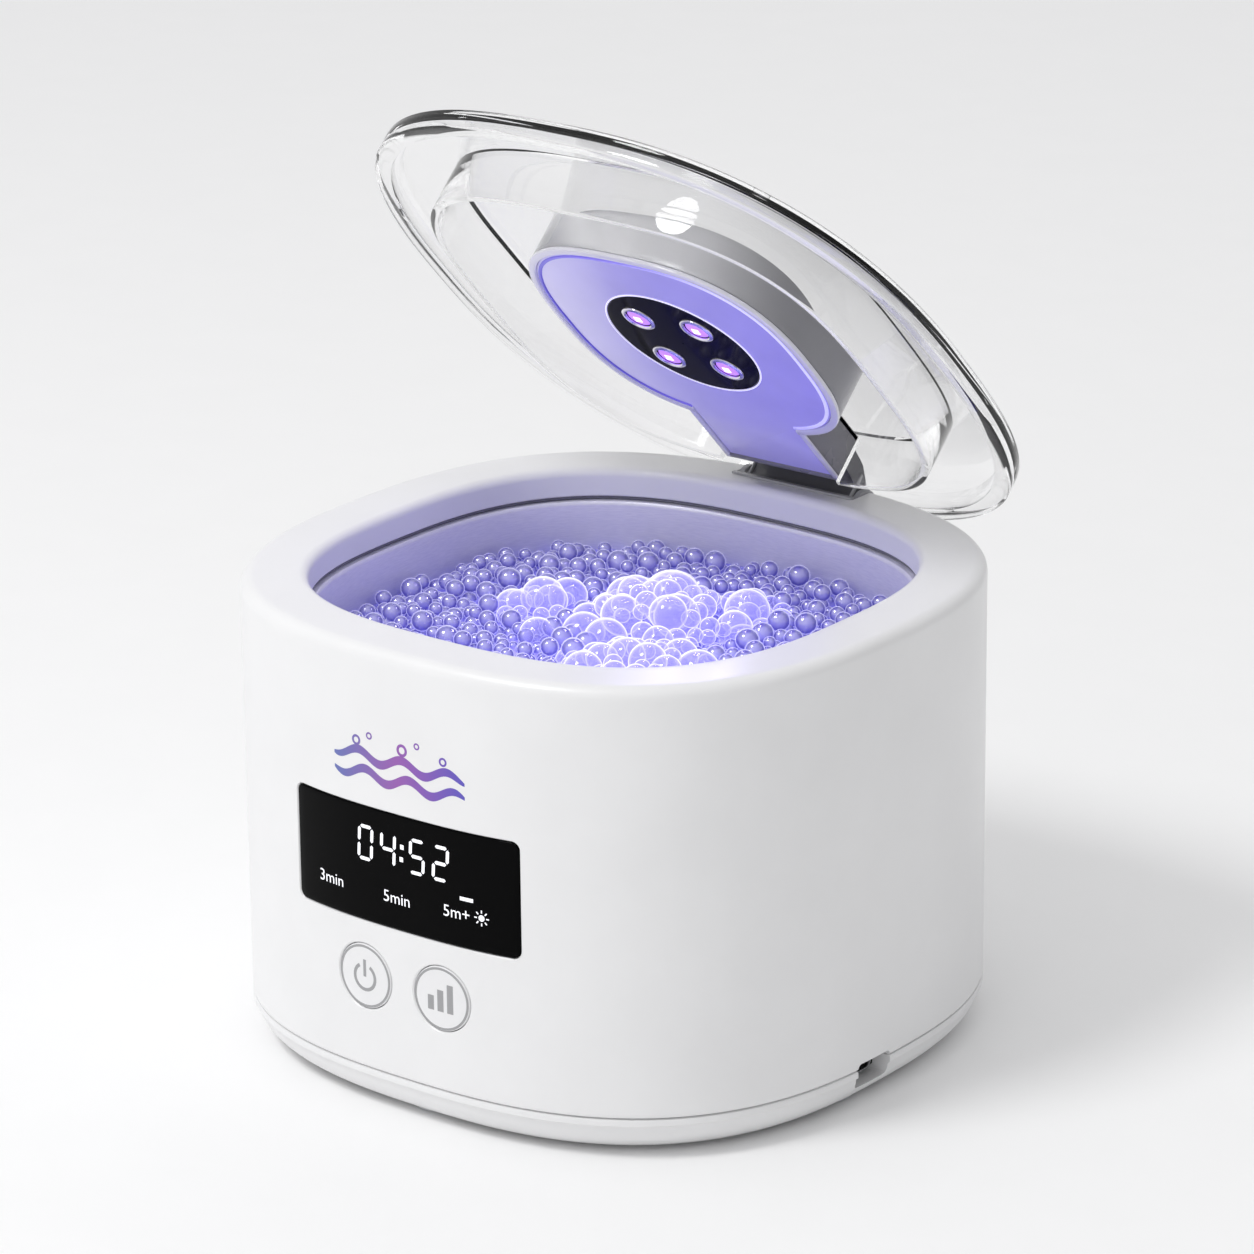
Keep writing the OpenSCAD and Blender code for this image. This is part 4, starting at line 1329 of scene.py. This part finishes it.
def studio():
    """Pale floor, soft even light from all round, and a little less from the right."""
    floor_material = moulded("floor_pale", (0.96, 0.96, 0.96), (0.6, 0.75), 40, 1e-5, 0.01)
    corners = [(x * FLOOR_HALF, y * FLOOR_HALF, 0) for x, y in ((-1, -1), (1, -1), (1, 1), (-1, 1))]
    floor = make_piece("floor", corners, [(0, 1, 2, 3)], floor_material)
    world = bpy.data.worlds.new("studio")
    bpy.context.scene.world = world
    world.use_nodes = True
    tree = world.node_tree
    sky = tree.nodes["Background"]
    place = tree.nodes.new("ShaderNodeTexCoord")
    direction = tree.nodes.new("ShaderNodeVectorMath")
    direction.operation = "DOT_PRODUCT"
    direction.inputs[1].default_value = SKY_AXIS
    fit = tree.nodes.new("ShaderNodeMapRange")
    fit.inputs["From Min"].default_value = -1
    ramp = tree.nodes.new("ShaderNodeValToRGB")
    stops = ramp.color_ramp.elements
    stops.new(0.5)
    for stop, (position, value) in zip(stops, SKY_STOPS):
        stop.position = position
        stop.color = (value, value, value * 1.01, 1)
    tree.links.new(place.outputs["Generated"], direction.inputs[0])
    tree.links.new(direction.outputs["Value"], fit.inputs["Value"])
    tree.links.new(fit.outputs["Result"], ramp.inputs["Fac"])
    tree.links.new(ramp.outputs["Color"], sky.inputs["Color"])
    sky.inputs["Strength"].default_value = SKY_STRENGTH


def key_light():
    """One large soft light, high over the front left."""
    light = bpy.data.lights.new("key_light", "AREA")
    light.shape = "DISK"
    light.size = KEY_SIZE
    light.energy = KEY_POWER
    lamp = placed("key_light", light)
    lamp.location = KEY_PLACE
    lamp.rotation_mode = "QUATERNION"
    lamp.rotation_quaternion = (KEY_TARGET - KEY_PLACE).to_track_quat("-Z", "Y")


def lamp_lights():
    """Violet light from the four LEDs, which turns with the lid."""
    for x in (-LED_PITCH, LED_PITCH):
        for y in (-LED_PITCH, LED_PITCH):
            place = OPENED @ Vector((x, DRUM_Y + y, HINGE_Z - 2.5 * MM))
            light = bpy.data.lights.new("led_light", "SPOT")
            light.energy = LED_POWER
            light.color = (0.66, 0.6, 1.0)
            light.shadow_soft_size = 2 * MM
            light.spot_size = math.radians(150)
            light.spot_blend = 1.0
            lamp = placed("led_light", light)
            lamp.matrix_world = Matrix.Translation(place) @ OPENED.to_3x3().to_4x4()
            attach(lamp, "lid")


def camera():
    """Long lens from the front right, slightly above."""
    level = math.cos(VIEW_ELEVATION)
    back = Vector((math.sin(VIEW_AZIMUTH) * level, -math.cos(VIEW_AZIMUTH) * level, math.sin(VIEW_ELEVATION)))
    right = Vector((math.cos(VIEW_AZIMUTH), math.sin(VIEW_AZIMUTH), 0))
    up = back.cross(right)
    turned_right = right * math.cos(VIEW_ROLL) + up * math.sin(VIEW_ROLL)
    turned_up = up * math.cos(VIEW_ROLL) - right * math.sin(VIEW_ROLL)
    data = bpy.data.cameras.new("camera")
    data.sensor_width = 36
    data.lens = VIEW_LENS
    view = placed("camera", data)
    view.matrix_world = Matrix((turned_right, turned_up, back)).transposed().to_4x4()
    view.location = VIEW_TARGET + back * VIEW_DISTANCE
    bpy.context.scene.camera = view


bpy.context.scene.view_settings.view_transform = "Standard"
studio()
key_light()
lamp_lights()
camera()
